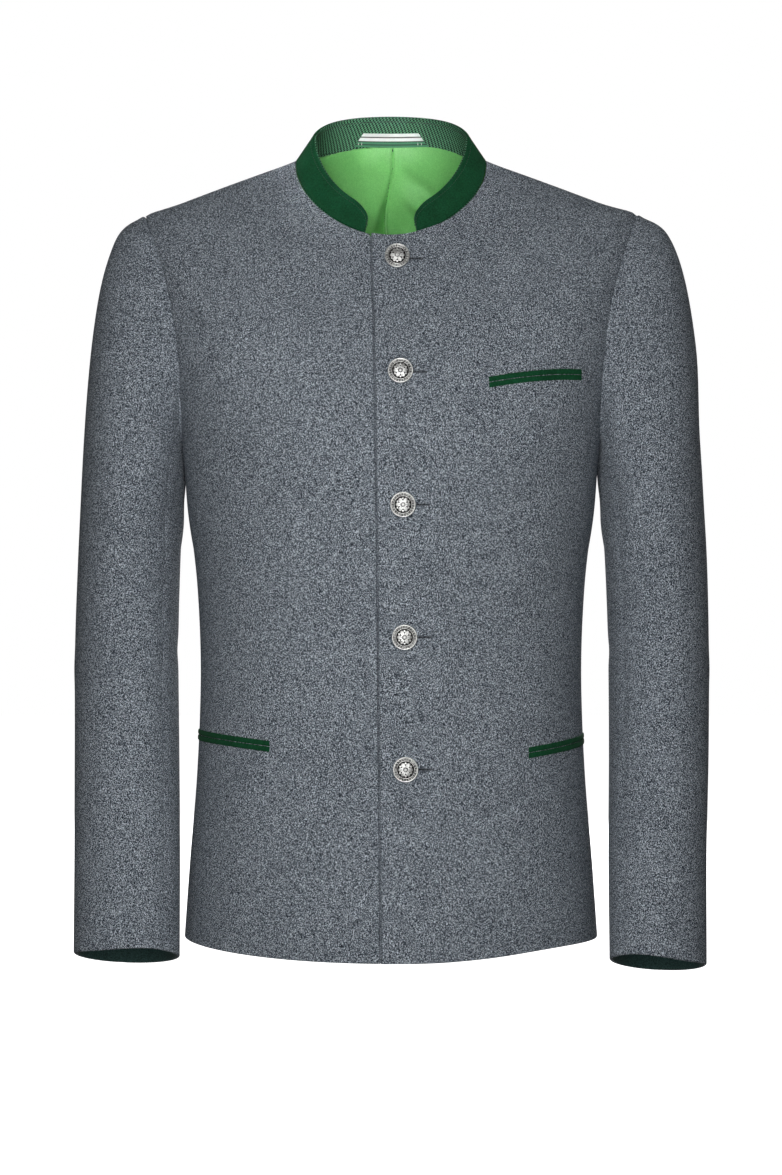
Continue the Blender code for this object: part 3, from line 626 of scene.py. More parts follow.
share = np.linspace(0, 1, 15)[1:, None, None]
bend = (start, start + BEND_LEAVES * climb, end - np.array([0, 0, BEND_ARRIVES]), end)
surface = np.concatenate([surface[:last + 1], bezier(bend, share[..., 0])])
out = np.concatenate([out[:last + 1], unit((1 - share) * out[last] + share * np.array([0, 1.0, 0]))])
lining_surface, lining_past = surface, past[:last + 1]
piece = cloth_shell("back_lining_satin", surface, out, 0.0, LINING, (satin,))
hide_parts("back_lining_left", "back_lining_right")


# ---- Sleeves -------------------------------------------------------------------------------------
# Each sleeve is a wide top sleeve and a narrow under sleeve of loden, cut to the arm's bend. The
# head is eased into the armhole over a soft roll, and the sleeves are lined with the green satin.
SLEEVE_COLUMNS = ("z", "x_right", "x_left", "y", "half_right", "half_left", "half_depth", "lean")
SLEEVE = {
    "biceps":    (-0.302, 0.2375, 0.2395, 0.002, 0.0466, 0.0468, 0.0715, 0.0),
    "upper arm": (-0.365, 0.2405, 0.2435, 0.005, 0.0468, 0.0466, 0.0680, 0.0),
    "elbow":     (-0.440, 0.2425, 0.2455, 0.003, 0.0472, 0.0460, 0.0640, 3.0),
    "forearm":   (-0.530, 0.2410, 0.2445, -0.013, 0.0476, 0.0454, 0.0580, 10.0),
    "low arm":   (-0.625, 0.2390, 0.2415, -0.036, 0.0478, 0.0444, 0.0510, 14.0),
    "cuff":      (-0.715, 0.2375, 0.2400, -0.061, 0.0476, 0.0436, 0.0455, 16.0),
}
SLEEVE_ROWS = np.array(list(SLEEVE.values()))
SLEEVE_END = float(len(SLEEVE_ROWS))
SLEEVE_DROP = {LEFT: 0.0070, RIGHT: 0.0}
CUFF_LOWER, CUFF_TILT = {LEFT: 0.0014, RIGHT: 0.0020}, {LEFT: 0.0028, RIGHT: -0.0012}
CUFF_FRONT, CUFF_DIP = {LEFT: 0.0032, RIGHT: 0.0023}, 0.0021
FRONT_SEAM, BACK_SEAM = 140.0, 280.0           # turns from the outside of the arm, in degrees
CAP_STEPS, ARM_STEPS, CAP_LENGTH, CUFF_ROW, CUFF_ROWS = 34, 92, 0.12, 0.09, 0.10
CAP_LEAVES, CAP_LEAVES_TOP = 0.010, 0.026      # how straight the cap sets off, below and at its top
CAP_ARRIVES, CAP_ARRIVES_TOP = 0.012, 0.188    # and how straight it runs into the arm
ARM_RADIUS, ARMHOLE_CLEAR, HEAD_LINED = 0.056, 0.0006, 0.014
HEAD_ROLL, HEAD_ROLL_WIDTH, HEAD_DIP = 0.0004, 0.011, 0.0001
TIP_FILLED, TIP_FILL_REACH = 0.0015, 0.0045
CROWN_FILLED, CROWN_AT, CROWN_REACH = {LEFT: 0.0, RIGHT: 0.0016}, 0.024, 0.016
HEAD_FULLNESS = {LEFT: 0.0041, RIGHT: 0.0}     # how far the head's padding fills it out to the side
PADDING_START, PADDING_RISE, PADDING_END, PADDING_FADE = 0.002, 0.028, 0.13, 0.09
HEAD_TURN, HEAD_ALLOWANCE, HEAD_BEND = 0.0004, (0.0048, 0.0032, 0.0018, 0.0006), (0.2, 0.4, 0.6, 0.8)
ARM_CREASES = (     # start turn in degrees and z, end turn and z, width, height
    (150, -0.410, 60, -0.425, 0.011, -0.0012),
    (160, -0.440, 55, -0.462, 0.012, 0.0013),
    (150, -0.470, 70, -0.505, 0.012, -0.0010),
    (240, -0.430, 165, -0.450, 0.010, -0.0012),
    (200, -0.300, 120, -0.330, 0.012, -0.0013),
    (190, -0.325, 100, -0.372, 0.014, 0.0012),
    (-60, -0.480, 20, -0.455, 0.014, 0.0009),
    (30, -0.160, 75, -0.235, 0.016, 0.0010),
    (178, -0.236, 182, -0.350, 0.018, 0.0024),
)


def along_armhole(turn, read, side):
    """What read gives for the body round the armhole, down its front edge and up its back one."""
    level, cut = armhole_level(turn), np.abs(np.sin(turn))
    front_half, back_half = (
        read(level, face, side * (ring_length(level, face) - cut * ARMHOLE_DEPTH[face]))
        for face in (FRONT, BACK))
    return np.where((turn <= math.pi)[..., None], front_half, back_half)


def armhole_point(side, turn):
    """Points of the armhole, from the shoulder tip down the front and up the back."""
    point = along_armhole(turn, on_form, side) + np.array([side * ARMHOLE_CLEAR, 0, 0])
    return point - TIP_SUNK[side] * near_tip(point, TIP_REACH)[..., None] * np.array([0, 0, 1])


def sleeve_ring_point(side, row, turn):
    """Points on the tube of the arm, by rows of its table."""
    ring = dict(zip(SLEEVE_COLUMNS, np.moveaxis(read_table(SLEEVE_ROWS, row), -1, 0)))
    name = "left" if side == LEFT else "right"
    drop = SLEEVE_DROP[side] * row / (SLEEVE_END - 1)
    across = ring["half_" + name] * np.cos(turn)
    along = -ring["half_depth"] * np.sin(turn)
    lean = np.radians(ring["lean"])
    ahead = np.maximum(np.sin(turn), 0)
    dip = CUFF_LOWER[side] + CUFF_TILT[side] * np.cos(turn) + CUFF_FRONT[side] * ahead
    dip = (dip + CUFF_DIP * ahead * np.sin(2 * turn)) * smooth(row - SLEEVE_END + 2)
    return np.stack([side * (ring["x_" + name] + across), ring["y"] + along * np.cos(lean),
                     ring["z"] - drop - dip - along * np.sin(lean)], -1)


def sleeve_point(side, travel, turn):
    """Points of the sleeve: travel runs 0 to 1 down the cap, then on by rows of the table."""
    travel, turn = np.broadcast_arrays(travel, turn)
    turn = np.mod(turn, 2 * math.pi)
    start, end = armhole_point(side, turn), sleeve_ring_point(side, 0 * turn, turn)
    over = 0.5 * (1 + np.cos(turn))
    leave = unit(np.stack([side * (0.15 + 0.85 * over), -0.20 * np.sin(turn),
                           -0.36 - 0.64 * (1 - over)], -1))
    arrive = unit(end - sleeve_ring_point(side, 0 * turn + 0.05, turn))
    curve = (start, start + (CAP_LEAVES + CAP_LEAVES_TOP * over)[..., None] * leave,
             end + (CAP_ARRIVES + CAP_ARRIVES_TOP * over * over)[..., None] * arrive, end)
    cap = bezier(curve, np.clip(travel, 0, 1))
    arm = sleeve_ring_point(side, np.clip(travel - 1, 0, SLEEVE_END - 1), turn)
    return np.where((travel > 1)[..., None], arm, cap)


def sleeve_normal(side, travel, turn):
    """Directions out of the sleeve."""
    low, high = np.maximum(travel - 0.02, 0), np.minimum(travel + 0.02, SLEEVE_END)
    down = sleeve_point(side, high, turn) - sleeve_point(side, low, turn)
    across = sleeve_point(side, travel, turn + 0.03) - sleeve_point(side, travel, turn - 0.03)
    return side * unit(np.cross(across, down))


def sleeve_travels():
    """Rows of a sleeve, close together by the armhole and the cuff."""
    cap = np.linspace(0, 1, CAP_STEPS + 1)
    arm = np.linspace(1, SLEEVE_END, ARM_STEPS + 1)[1:]
    return np.concatenate([NEAR_EDGE[NEAR_EDGE >= HEAD_TURN] / CAP_LENGTH,
                           cap[cap > NEAR_EDGE[-1] / CAP_LENGTH],
                           arm[arm < SLEEVE_END - CUFF_ROWS], SLEEVE_END - NEAR_EDGE[::-1] / CUFF_ROW])


def head_turned_in(side, turn, first_row, first_out):
    """Rows before a sleeve's own, turned in at the armhole seam."""
    seam, body_out = armhole_point(side, turn), along_armhole(turn, body_normal, side)
    away = unit(first_row - seam)
    deep = [seam - depth * body_out for depth in HEAD_ALLOWANCE]
    bend = [(1 - t) ** 2 * deep[-1] + 2 * t * (1 - t) * seam + t * t * first_row for t in HEAD_BEND]
    deep_out = [-away for _ in deep]
    bend_out = [unit(t * first_out - (1 - t) * away) for t in HEAD_BEND]
    return np.stack(deep + bend), np.stack(deep_out + bend_out)


def turns_between(start, end, steps):
    """Turns across a piece of the sleeve, close together by its two seams."""
    near = np.degrees(NEAR_EDGE / ARM_RADIUS)
    inner = np.linspace(start + near[-1], end - near[-1], steps + 1)[1:-1]
    return np.radians(np.concatenate([start + near, inner, end - near[::-1]]))


def sleeve_piece(name, side, first, last, steps):
    """A piece of the sleeve between two seams."""
    travel, turn = (grid.T for grid in np.meshgrid(sleeve_travels(), turns_between(first, last, steps)))
    points, out = sleeve_point(side, travel, turn), sleeve_normal(side, travel, turn)
    turned, turned_out = head_turned_in(side, np.mod(turn[0], 2 * math.pi), points[0], out[0])
    points, out = np.concatenate([turned, points]), np.concatenate([turned_out, out])
    turn = np.broadcast_to(turn[:1], points.shape[:2])
    from_head, from_cuff = runs_along(points, 0)
    from_head = np.maximum(from_head - from_head[len(HEAD_ALLOWANCE) + 1], 0)
    from_first, from_last = runs_along(points, 1)
    head = np.clip(np.cos(np.mod(turn, 2 * math.pi)) + 0.75, 0, 1)
    roll = HEAD_ROLL * head * (from_head / HEAD_ROLL_WIDTH) * np.exp(1 - from_head / HEAD_ROLL_WIDTH)
    across = np.mod(turn + 0.5 * math.pi, 2 * math.pi) - 0.5 * math.pi
    table = [(math.radians(start) * ARM_RADIUS, start_z, math.radians(end) * ARM_RADIUS, *rest)
             for start, start_z, end, *rest in ARM_CREASES]
    at_tip = np.clip(4 * np.cos(turn) - 3, 0, 1)
    filled = (TIP_FILLED * np.exp(-(from_head / TIP_FILL_REACH) ** 2)
              + CROWN_FILLED[side] * np.exp(-((from_head - CROWN_AT) / CROWN_REACH) ** 2))
    padded = (smooth((from_head - PADDING_START) / PADDING_RISE)
              * (1 - smooth((from_head - PADDING_END) / PADDING_FADE)))
    lift = roll + at_tip * filled + HEAD_FULLNESS[side] * padded * np.maximum(np.cos(turn), 0) ** 2
    lift = lift + creases(table, across * ARM_RADIUS, points[..., 2])
    lift = lift + seam_dip(from_head, HEAD_DIP) + seam_dip(from_first) + seam_dip(from_last)
    lined = (from_head > HEAD_LINED) & (from_cuff > HEM_TURNED_UP)
    return cloth_shell(name, points, out, lift, LODEN, (loden, satin), lined.astype(int),
                       rolls=(1, 1, 0.4, 0.4))


for word, side in (("left", LEFT), ("right", RIGHT)):
    for part, first, last, steps, flat, area in (
            ("top", BACK_SEAM - 360, FRONT_SEAM, 44, (0.235, 0.70), 0.134),
            ("under", FRONT_SEAM, BACK_SEAM, 26, (0.15, 0.61), 0.070)):
        name = "sleeve_" + part + "_" + word
        piece = sleeve_piece(name + "_cloth", side, first, last, steps)
        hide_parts(name)


# ---- Cuff facings --------------------------------------------------------------------------------
# A band of dark green cloth faces the inside of each cuff. It is turned in a little short of the
# edge and felled to the sleeve lining.
CUFF_FACING, CUFF_FACING_ROWS, CUFF_TURNS = 0.0010, 0.40, 97

facing_cloth, shader, place = finish_material("dark green facing", {
    "Roughness": 0.9, "Specular IOR Level": 0.2, "Sheen Weight": 0.12, "Sheen Roughness": 0.5})
nap = place.noise(900, 2.0, 0.6)
place.join(shader.inputs["Base Color"], nap.clamp(0.25, 0.75).tint((0.022, 0.048, 0.045),
                                                                    (0.068, 0.140, 0.130)))
place.join(shader.inputs["Normal"], bump(nap, 0.3, 0.0004))

for word, side in (("left", LEFT), ("right", RIGHT)):
    near = NEAR_EDGE[:5] / CUFF_ROW
    rows = SLEEVE_END - np.concatenate([CUFF_FACING_ROWS - near,
                                        np.linspace(CUFF_FACING_ROWS - 0.02, 0.02, 12), near[::-1]])
    travel, turn = (grid.T for grid in np.meshgrid(rows, np.linspace(0, 2 * math.pi, CUFF_TURNS)[:-1]))
    points, out = sleeve_point(side, travel, turn), sleeve_normal(side, travel, turn)
    piece = cloth_shell("cuff_facing_" + word + "_cloth", points, out, -LODEN - LAYER_GAP,
                        CUFF_FACING, (facing_cloth,), closed=True)
    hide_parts("cuff_facing_" + word)


# ---- Collar --------------------------------------------------------------------------------------
# A stand collar of dark green wool cloth runs round the neck and ends in rounded corners short of
# the front edge. A row of stitches holds its top edge, a little below the fold.
COLLAR_CLOTH, COLLAR_LAYER_GAP = 0.0018, 0.0003
COLLAR_END, COLLAR_CORNER = 0.0248, 0.022
COLLAR = {FRONT: (0.0275, 27.0), "side": (0.0285, 35.0), BACK: (0.0310, 12.0)}
COLLAR_TURN = {FRONT: 2, BACK: 4}
COLLAR_FOOT_GAP, NECK_CENTRE_Y = 0.0006, -0.004
TOPSTITCH_BELOW, TOPSTITCH_WIDTH, TOPSTITCH_DIP = 0.0046, 0.0011, 0.00022


def collar_frame(face, distance):
    """Foot, rise and outward direction of the collar at distances along the neckline."""
    foot = on_form(np.full(distance.shape, NECK), face, distance)
    blend = np.sin(0.5 * math.pi * np.abs(distance) / ring_length(NECK, face)) ** COLLAR_TURN[face]
    height = COLLAR[face][0] + (COLLAR["side"][0] - COLLAR[face][0]) * blend
    lean = np.radians(COLLAR[face][1] + (COLLAR["side"][1] - COLLAR[face][1]) * blend)
    if face == FRONT:
        from_end = np.minimum((np.abs(distance) - COLLAR_END) / COLLAR_CORNER, 1)
        height = height * (0.5 + 0.5 * np.sqrt(np.maximum(1 - (1 - from_end) ** 2, 0)))
    inward = unit(np.stack([-foot[..., 0], NECK_CENTRE_Y - foot[..., 1], 0 * height], -1))
    upright = np.array([0.0, 0.0, 1.0])
    rise = np.cos(lean)[..., None] * upright + np.sin(lean)[..., None] * inward
    outward = -np.cos(lean)[..., None] * inward + np.sin(lean)[..., None] * upright
    return foot, height[..., None] * rise, outward


def collar_line():
    """Foot, rise and outward direction all along the collar, from the right end to the left one."""
    front_length, back_length = ring_length(NECK, FRONT), ring_length(NECK, BACK)
    fronts = np.concatenate([COLLAR_END + NEAR_EDGE,
                             np.linspace(COLLAR_END + NEAR_EDGE[-1], front_length, 34)[1:]])
    backs = np.linspace(0, back_length, 30)[:-1]
    parts = [collar_frame(FRONT, -fronts[:-1]), collar_frame(BACK, -backs[:0:-1]),
             collar_frame(BACK, backs), collar_frame(FRONT, fronts[-2::-1])]
    return [np.concatenate(each) for each in zip(*parts)]


def collar_grid(rows, below=0.0):
    """Points of the collar's outer face from foot to top edge, and the way out of it."""
    foot, rise, outward = collar_line()
    height = np.linalg.norm(rise, axis=-1)[None, :, None]
    near = NEAR_EDGE[:6, None, None]
    share = np.concatenate([(near - below) / height,
                            np.linspace(0.1 if below == 0 else 0, 0.80, rows)[:, None, None] + 0 * height,
                            1 - near[::-1] / height])
    points = foot + COLLAR_FOOT_GAP * unit(rise) + share * rise
    return points, np.broadcast_to(outward, points.shape)


def under_stitches(points):
    """1 along the row of stitches below the collar's top edge, down to 0 beside it."""
    _, from_top = runs_along(points, 0)
    return np.exp(-((from_top - TOPSTITCH_BELOW) / TOPSTITCH_WIDTH) ** 2)


collar_cloth, shader, place = finish_material("dark green wool", {
    "Roughness": 0.9, "Specular IOR Level": 0.2,
    "Sheen Weight": 0.06, "Sheen Roughness": 0.5, "Sheen Tint": (0.4, 0.9, 0.5, 1)})
nap = place.noise(700, 2.0, 0.6) * 0.7 + place.noise(60, 2.0, 0.5) * 0.3
place.join(shader.inputs["Base Color"], nap.clamp(0.25, 0.75).tint((0.002, 0.038, 0.013),
                                                                    (0.008, 0.092, 0.034)))
place.join(shader.inputs["Normal"], bump(nap, 0.3, 0.0004))

points, out = collar_grid(14)
piece = cloth_shell("collar_wool", points, out, -TOPSTITCH_DIP * under_stitches(points), COLLAR_CLOTH,
                    (collar_cloth,))
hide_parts("collar")


# ---- Collar facing -------------------------------------------------------------------------------
# The collar is faced inside with a fine green and dark checked cloth, cut to the same shape.
FACING_CLOTH, FACING_TURN, FACING_DIP = 0.0010, 0.0015, 0.00035
CHECK = 0.0033

facing, shader, place = finish_material("checked facing", {
    "Roughness": 0.75, "Specular IOR Level": 0.35}, "UV")
across, up = place.part("X"), place.part("Y")
wave_across, wave_up = (way.math("SINE", way * (2 * math.pi / CHECK)) for way in (across, up))
weave = (wave_across * wave_up + (place.noise(700, 2.0, 0.6) - 0.5) * 1.4).clamp(-0.4, 0.5)
place.join(shader.inputs["Base Color"], weave.tint((0.003, 0.014, 0.011), (0.110, 0.320, 0.175)))
place.join(shader.inputs["Normal"], bump(weave, 0.3, 0.0003))

points, out = collar_grid(16, FACING_TURN)
(along, _), (up, _) = runs_along(points, 1), runs_along(points, 0)
lift = FACING_DIP * under_stitches(points) - COLLAR_CLOTH - COLLAR_LAYER_GAP
piece = cloth_shell("collar_facing_cloth", points, out, lift, FACING_CLOTH, (facing,),
                    uv=np.stack([along, up], -1))
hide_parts("collar_facing")


# ---- Hanger loop ---------------------------------------------------------------------------------
# A flat striped tape, white, dark and green, is sewn across the back of the neck in front of the
# facing. Its ends are turned under and tacked down with white thread.
TAPE, LOOP_SAG = 0.0008, 0.0008
LOOP_HALF, LOOP_BOTTOM, LOOP_HEIGHT, LOOP_SLANT = 0.0375, 0.0256, 0.0127, 0.0085

tape_cloth, shader, place = finish_material("striped tape", {"Roughness": 0.6}, "UV")
up = place.part("Y") / LOOP_HEIGHT
rib = place.node("TexWave", {"bands_direction": "X"}, {"Vector": place, "Scale": 260.0}, "Fac")
green, dark, white = (0.05, 0.25, 0.12), (0.008, 0.03, 0.02), (0.95, 0.97, 0.95)
stripes = up.node("ValToRGB", {"stops": (
    (0.0, green), (0.13, green), (0.16, dark), (0.20, dark), (0.23, green), (0.36, green), (0.38, dark),
    (0.43, dark), (0.45, white), (0.66, white), (0.69, dark), (0.74, dark), (0.77, white),
    (0.97, white), (1.0, green))}, {"Fac": up})
place.join(shader.inputs["Base Color"], stripes)
place.join(shader.inputs["Normal"], bump(rib, 0.4, 0.0002))

near = NEAR_EDGE[:4] / LOOP_HEIGHT
share = np.concatenate([near, np.linspace(0.12, 0.88, 6), 1 - near[::-1]])
loop_half = LOOP_HALF - LOOP_SLANT * share
distance = between(-loop_half, loop_half, 26)
foot, rise, outward = collar_frame(BACK, distance)
climb = unit(rise)
height = LOOP_BOTTOM - foot[..., 2] + share[:, None] * LOOP_HEIGHT
points = foot + (height / climb[..., 2])[..., None] * climb
sag = LOOP_SAG * (1 - (distance / LOOP_HALF) ** 2)
behind = COLLAR_CLOTH + COLLAR_LAYER_GAP + FACING_CLOTH + LAYER_GAP
piece = cloth_shell("hanger_tape", points, outward, -behind - sag, TAPE, (tape_cloth,),
                    uv=np.stack([distance, share[:, None] * LOOP_HEIGHT + 0 * distance], -1))
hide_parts("hanger_loop")


# ---- Pocket jets ---------------------------------------------------------------------------------
# Each pocket mouth is bound with two narrow jets of the collar's green cloth, folded and sewn on, so
# they meet along the slit. There is one pocket on the left chest and one on each hip.
JET, JET_WIDTH, JET_SLIT, JET_CROWN, JET_CUT = 0.0010, 0.0046, 0.0006, 0.0006, 0.0125
JET_PROUD = 0.0005      # a jet's edges over the loden that it is set into
JET_ROWS = np.array([0, 0.03, 0.09, 0.18, 0.32, 0.50, 0.68, 0.82, 0.91, 0.97, 1.0])[:, None]
POCKETS = {     # start, length, z at the start, z at the end, bow, half the slit
    "chest_left": (0.0880, 0.0960, -0.2065, -0.1975, 0.0022, 0.0002),
    "hip_left": (0.1270, 0.1150, -0.5335, -0.5245, 0.0010, 0.0002),
    "hip_right": (0.1100, 0.1300, -0.5275, -0.5210, 0.0016, 0.0002),
}
for pocket, (start, length, z_start, z_end, bow, slit) in POCKETS.items():
    side = LEFT if pocket.endswith("left") else RIGHT
    near = NEAR_EDGE[:5] / length
    share = np.concatenate([near, np.linspace(0.03, 0.97, 46), 1 - near[::-1]])
    distance = side * (start + length * share)[None] + 0 * JET_ROWS
    mouth_z = z_start + (z_end - z_start) * share + bow * (1 - (2 * share - 1) ** 2)
    crown = JET_CROWN * np.sqrt(np.maximum(1 - (2 * JET_ROWS - 1) ** 2, 0))
    for band, word in ((1, "upper"), (-1, "lower")):
        z = mouth_z + band * (slit + (JET_WIDTH + 0.5 * JET_SLIT - slit) * JET_ROWS)
        level = body_level_at(FRONT, distance, z)
        lift = lap_lift(level, distance) if side == LEFT else 0 * level
        points, out = on_form(level, FRONT, distance), body_normal(level, FRONT, distance)
        lift = lift + JET_PROUD + crown + creases(FRONT_CREASES, side * points[..., 0], points[..., 2])
        name = pocket + "_jet_" + word
        piece = cloth_shell(name + "_cloth", points, out, lift, JET, (collar_cloth,))
        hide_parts(name)


# ---- Buttons -------------------------------------------------------------------------------------
# Five shank buttons of cast white metal, tarnished dark in the hollows. Each has a plain rim, a ring
# of beads, a sunk band and a domed middle with a six-petalled mountain flower.
BUTTON_COUNT, BUTTON_TOP_Z, BUTTON_SECOND_Z, BUTTON_FOOT_Z = 5, -0.0950, -0.1985, -0.5465
BUTTON_SEGMENTS, BUTTON_PETALS = 128, 6
SHANK_RADIUS, RIM_RADIUS = 0.0026, 0.0112
BUTTON_PROFILE = np.array([      # radius, height, how sunk and tarnished
    (SHANK_RADIUS, 0.0004, 0.80), (SHANK_RADIUS, 0.0014, 0.80), (0.0070, 0.0015, 0.80),
    (0.0098, 0.0017, 0.80), (0.0108, 0.0021, 0.00), (RIM_RADIUS, 0.0027, 0.00), (0.0110, 0.0033, 0.00),
    (0.0105, 0.0036, 0.00), (0.0100, 0.0034, 0.00), (0.0097, 0.0030, 0.55), (0.0090, 0.0029, 0.55),
    (0.0086, 0.0029, 0.55), (0.0082, 0.0033, 0.55), (0.0079, 0.0036, 0.00), (0.0076, 0.0037, 0.00)])
MEDAL_RADIUS, MEDAL_HEIGHT, MEDAL_CROWN, MEDAL_RINGS = 0.0074, 0.0036, 0.0045, 36
FLOWER_HEIGHT, FLOWER_GROUND = 0.00065, 0.0003     # the flower over the ground that it is cut in
BEAD_RING, BEAD_HEIGHT, BEAD_PITCH, BEAD = 0.0092, 0.0031, 0.00231, 0.0019
BUTTON_DROOP, SHANK_CLEAR = 0.60, 0.0004

silver, shader, place = finish_material("old silver", {"Metallic": 1.0})
hollow = place.node("Attribute", {"attribute_name": "hollow"}, {}, "Fac")
wear = place.noise(900, 3.0, 0.6) * 0.5 + place.noise(260, 2.0, 0.5) * 0.5
dirt = (hollow * 1.2 + (wear - 0.5) * 3.2).clamp(0.12, 0.85)
place.join(shader.inputs["Base Color"], dirt.tint((0.69, 0.69, 0.675), (0.020, 0.019, 0.018)))
place.join(shader.inputs["Roughness"], dirt * 0.20 + 0.34)
place.join(shader.inputs["Normal"], bump(wear, 0.25, 0.0002))


def flower(radius, turn):
    """Height of the flower on a button's middle, and how sunk each place is."""
    share = radius / MEDAL_RADIUS
    petals = np.abs(np.cos(0.5 * BUTTON_PETALS * turn))
    outline = 0.36 + 0.58 * petals**0.7
    petal = smooth((outline - share) / 0.10) * smooth((share - 0.25) / 0.05)
    vein = np.exp(-((1 - petals) / 0.006)) + np.exp(-((petals - 0.90) / 0.035) ** 2)
    leaves = np.abs(np.sin(0.5 * BUTTON_PETALS * turn))
    leaf = 0.7 * smooth((0.40 + 0.54 * leaves**2 - share) / 0.08) * smooth((share - 0.62) / 0.08)
    seeds = 0.9 * smooth((0.24 - share) / 0.05) * (0.75 + 0.25 * np.cos(6 * turn) * (share > 0.10))
    height = FLOWER_HEIGHT * np.maximum.reduce([petal * (1 - 0.7 * vein * (share > 0.34)), leaf, seeds])
    return height, 1 - np.clip(height / FLOWER_GROUND, 0, 1)


def button_mesh(name, foot, shank_foot, across, up, out):
    """A button on its foot, as a closed turned shape with the flower raised on its middle."""
    turns = np.linspace(0, 2 * math.pi, BUTTON_SEGMENTS + 1)[:-1]
    radii, heights, sunk = BUTTON_PROFILE.T.copy()
    heights[0] = shank_foot
    medal = np.linspace(MEDAL_RADIUS, 0, MEDAL_RINGS)[:-1]
    relief, hollows = flower(medal[:, None], turns[None])
    crown = MEDAL_HEIGHT + (MEDAL_CROWN - MEDAL_HEIGHT) * (1 - (medal / MEDAL_RADIUS) ** 2)
    radius, height, hollow = (
        np.concatenate([np.repeat(turned[:, None], len(turns), 1), middle + 0 * relief])
        for turned, middle in ((radii, medal[:, None]),
                               (heights, crown[:, None] - FLOWER_GROUND + relief), (sunk, hollows)))
    points = (foot + radius[..., None] * (np.cos(turns)[None, :, None] * across
                                          + np.sin(turns)[None, :, None] * up) + height[..., None] * out)
    rows, columns = radius.shape
    grid = np.arange(rows * columns).reshape(rows, columns)
    grid = np.concatenate([grid, grid[:, :1]], 1)
    base, top = rows * columns, rows * columns + 1
    fans = [(base, after, before) for before, after in zip(grid[0], grid[0, 1:])]
    fans += [(top, before, after) for before, after in zip(grid[-1], grid[-1, 1:])]
    vertices = points.reshape(-1, 3).tolist()
    vertices += [(foot + heights[0] * out).tolist(), (foot + (MEDAL_CROWN + FLOWER_GROUND) * out).tolist()]
    faces = cells(grid).reshape(-1, 4).tolist() + np.array(fans).tolist()
    mesh = bpy.data.meshes.new(name)
    mesh.from_pydata(vertices, [], faces)
    mesh.polygons.foreach_set("use_smooth", np.ones(len(mesh.polygons), bool))
    mesh.attributes.new("hollow", "FLOAT", "POINT").data.foreach_set(
        "value", np.concatenate([hollow.reshape(-1), [1.0, 0.2]]).astype(np.float32))
    mesh.materials.append(silver)
    return add_piece(name, mesh)


def row_tree():
    """Small rounded grains set along a line: stitches, or beads where they are as long as thick."""
    tree = bpy.data.node_groups.new("row of grains", "GeometryNodeTree")
    slots = {}
    for label, kind in (("Line", "Geometry"), ("Pitch", "Float"), ("Length", "Float"),
                        ("Thickness", "Float"), ("Unevenness", "Float"), ("Seed", "Int"),
                        ("Material", "Material")):
        slots[label] = tree.interface.new_socket(label, in_out="INPUT",
                                                 socket_type="NodeSocket" + kind).identifier
    tree.interface.new_socket("Grains", in_out="OUTPUT", socket_type="NodeSocketGeometry")
    given, result = tree.nodes.new("NodeGroupInput"), tree.nodes.new("NodeGroupOutput")

    def add(kind, values, settings=()):
        node = tree.nodes.new(kind)
        for name, value in settings:
            setattr(node, name, value)
        for name, value in values.items():
            if isinstance(value, bpy.types.NodeSocket):
                tree.links.new(value, node.inputs[name])
            else:
                node.inputs[name].default_value = value
        return node

    curve = add("GeometryNodeMeshToCurve", {0: given.outputs["Line"]})
    spaced = add("GeometryNodeResampleCurve", {"Curve": curve.outputs[0], "Length": given.outputs["Pitch"]},
                 [("mode", "LENGTH")])
    grain = add("GeometryNodeMeshIcoSphere", {"Radius": 0.5, "Subdivisions": 2})
    size = add("ShaderNodeCombineXYZ", {"X": given.outputs["Length"], "Y": given.outputs["Thickness"],
                                        "Z": given.outputs["Thickness"]})
    shaped = add("GeometryNodeTransform", {"Geometry": grain.outputs["Mesh"], "Scale": size.outputs[0]})
    smooth_faces = add("GeometryNodeSetShadeSmooth", {0: shaped.outputs[0]})
    tangent = add("GeometryNodeInputTangent", {})
    uneven = add("FunctionNodeRandomValue", {0: (-1, -1, -1), 1: (1, 1, 1), "Seed": given.outputs["Seed"]},
                 [("data_type", "FLOAT_VECTOR")])
    shake = add("ShaderNodeVectorMath", {0: uneven.outputs[0]}, [("operation", "SCALE")])
    tree.links.new(given.outputs["Unevenness"], shake.inputs["Scale"])
    aim = add("ShaderNodeVectorMath", {0: tangent.outputs[0], 1: shake.outputs[0]}, [("operation", "ADD")])
    turned = add("FunctionNodeAlignRotationToVector", {"Vector": aim.outputs[0]}, [("axis", "X")])
    placed = add("GeometryNodeInstanceOnPoints", {
        "Points": spaced.outputs[0], "Instance": smooth_faces.outputs[0], "Rotation": turned.outputs[0]})
    real = add("GeometryNodeRealizeInstances", {0: placed.outputs[0]})
    coloured = add("GeometryNodeSetMaterial", {"Geometry": real.outputs[0],
                                               "Material": given.outputs["Material"]})
    tree.links.new(coloured.outputs[0], result.inputs[0])
    return tree, slots


grain_tree, grain_slots = row_tree()


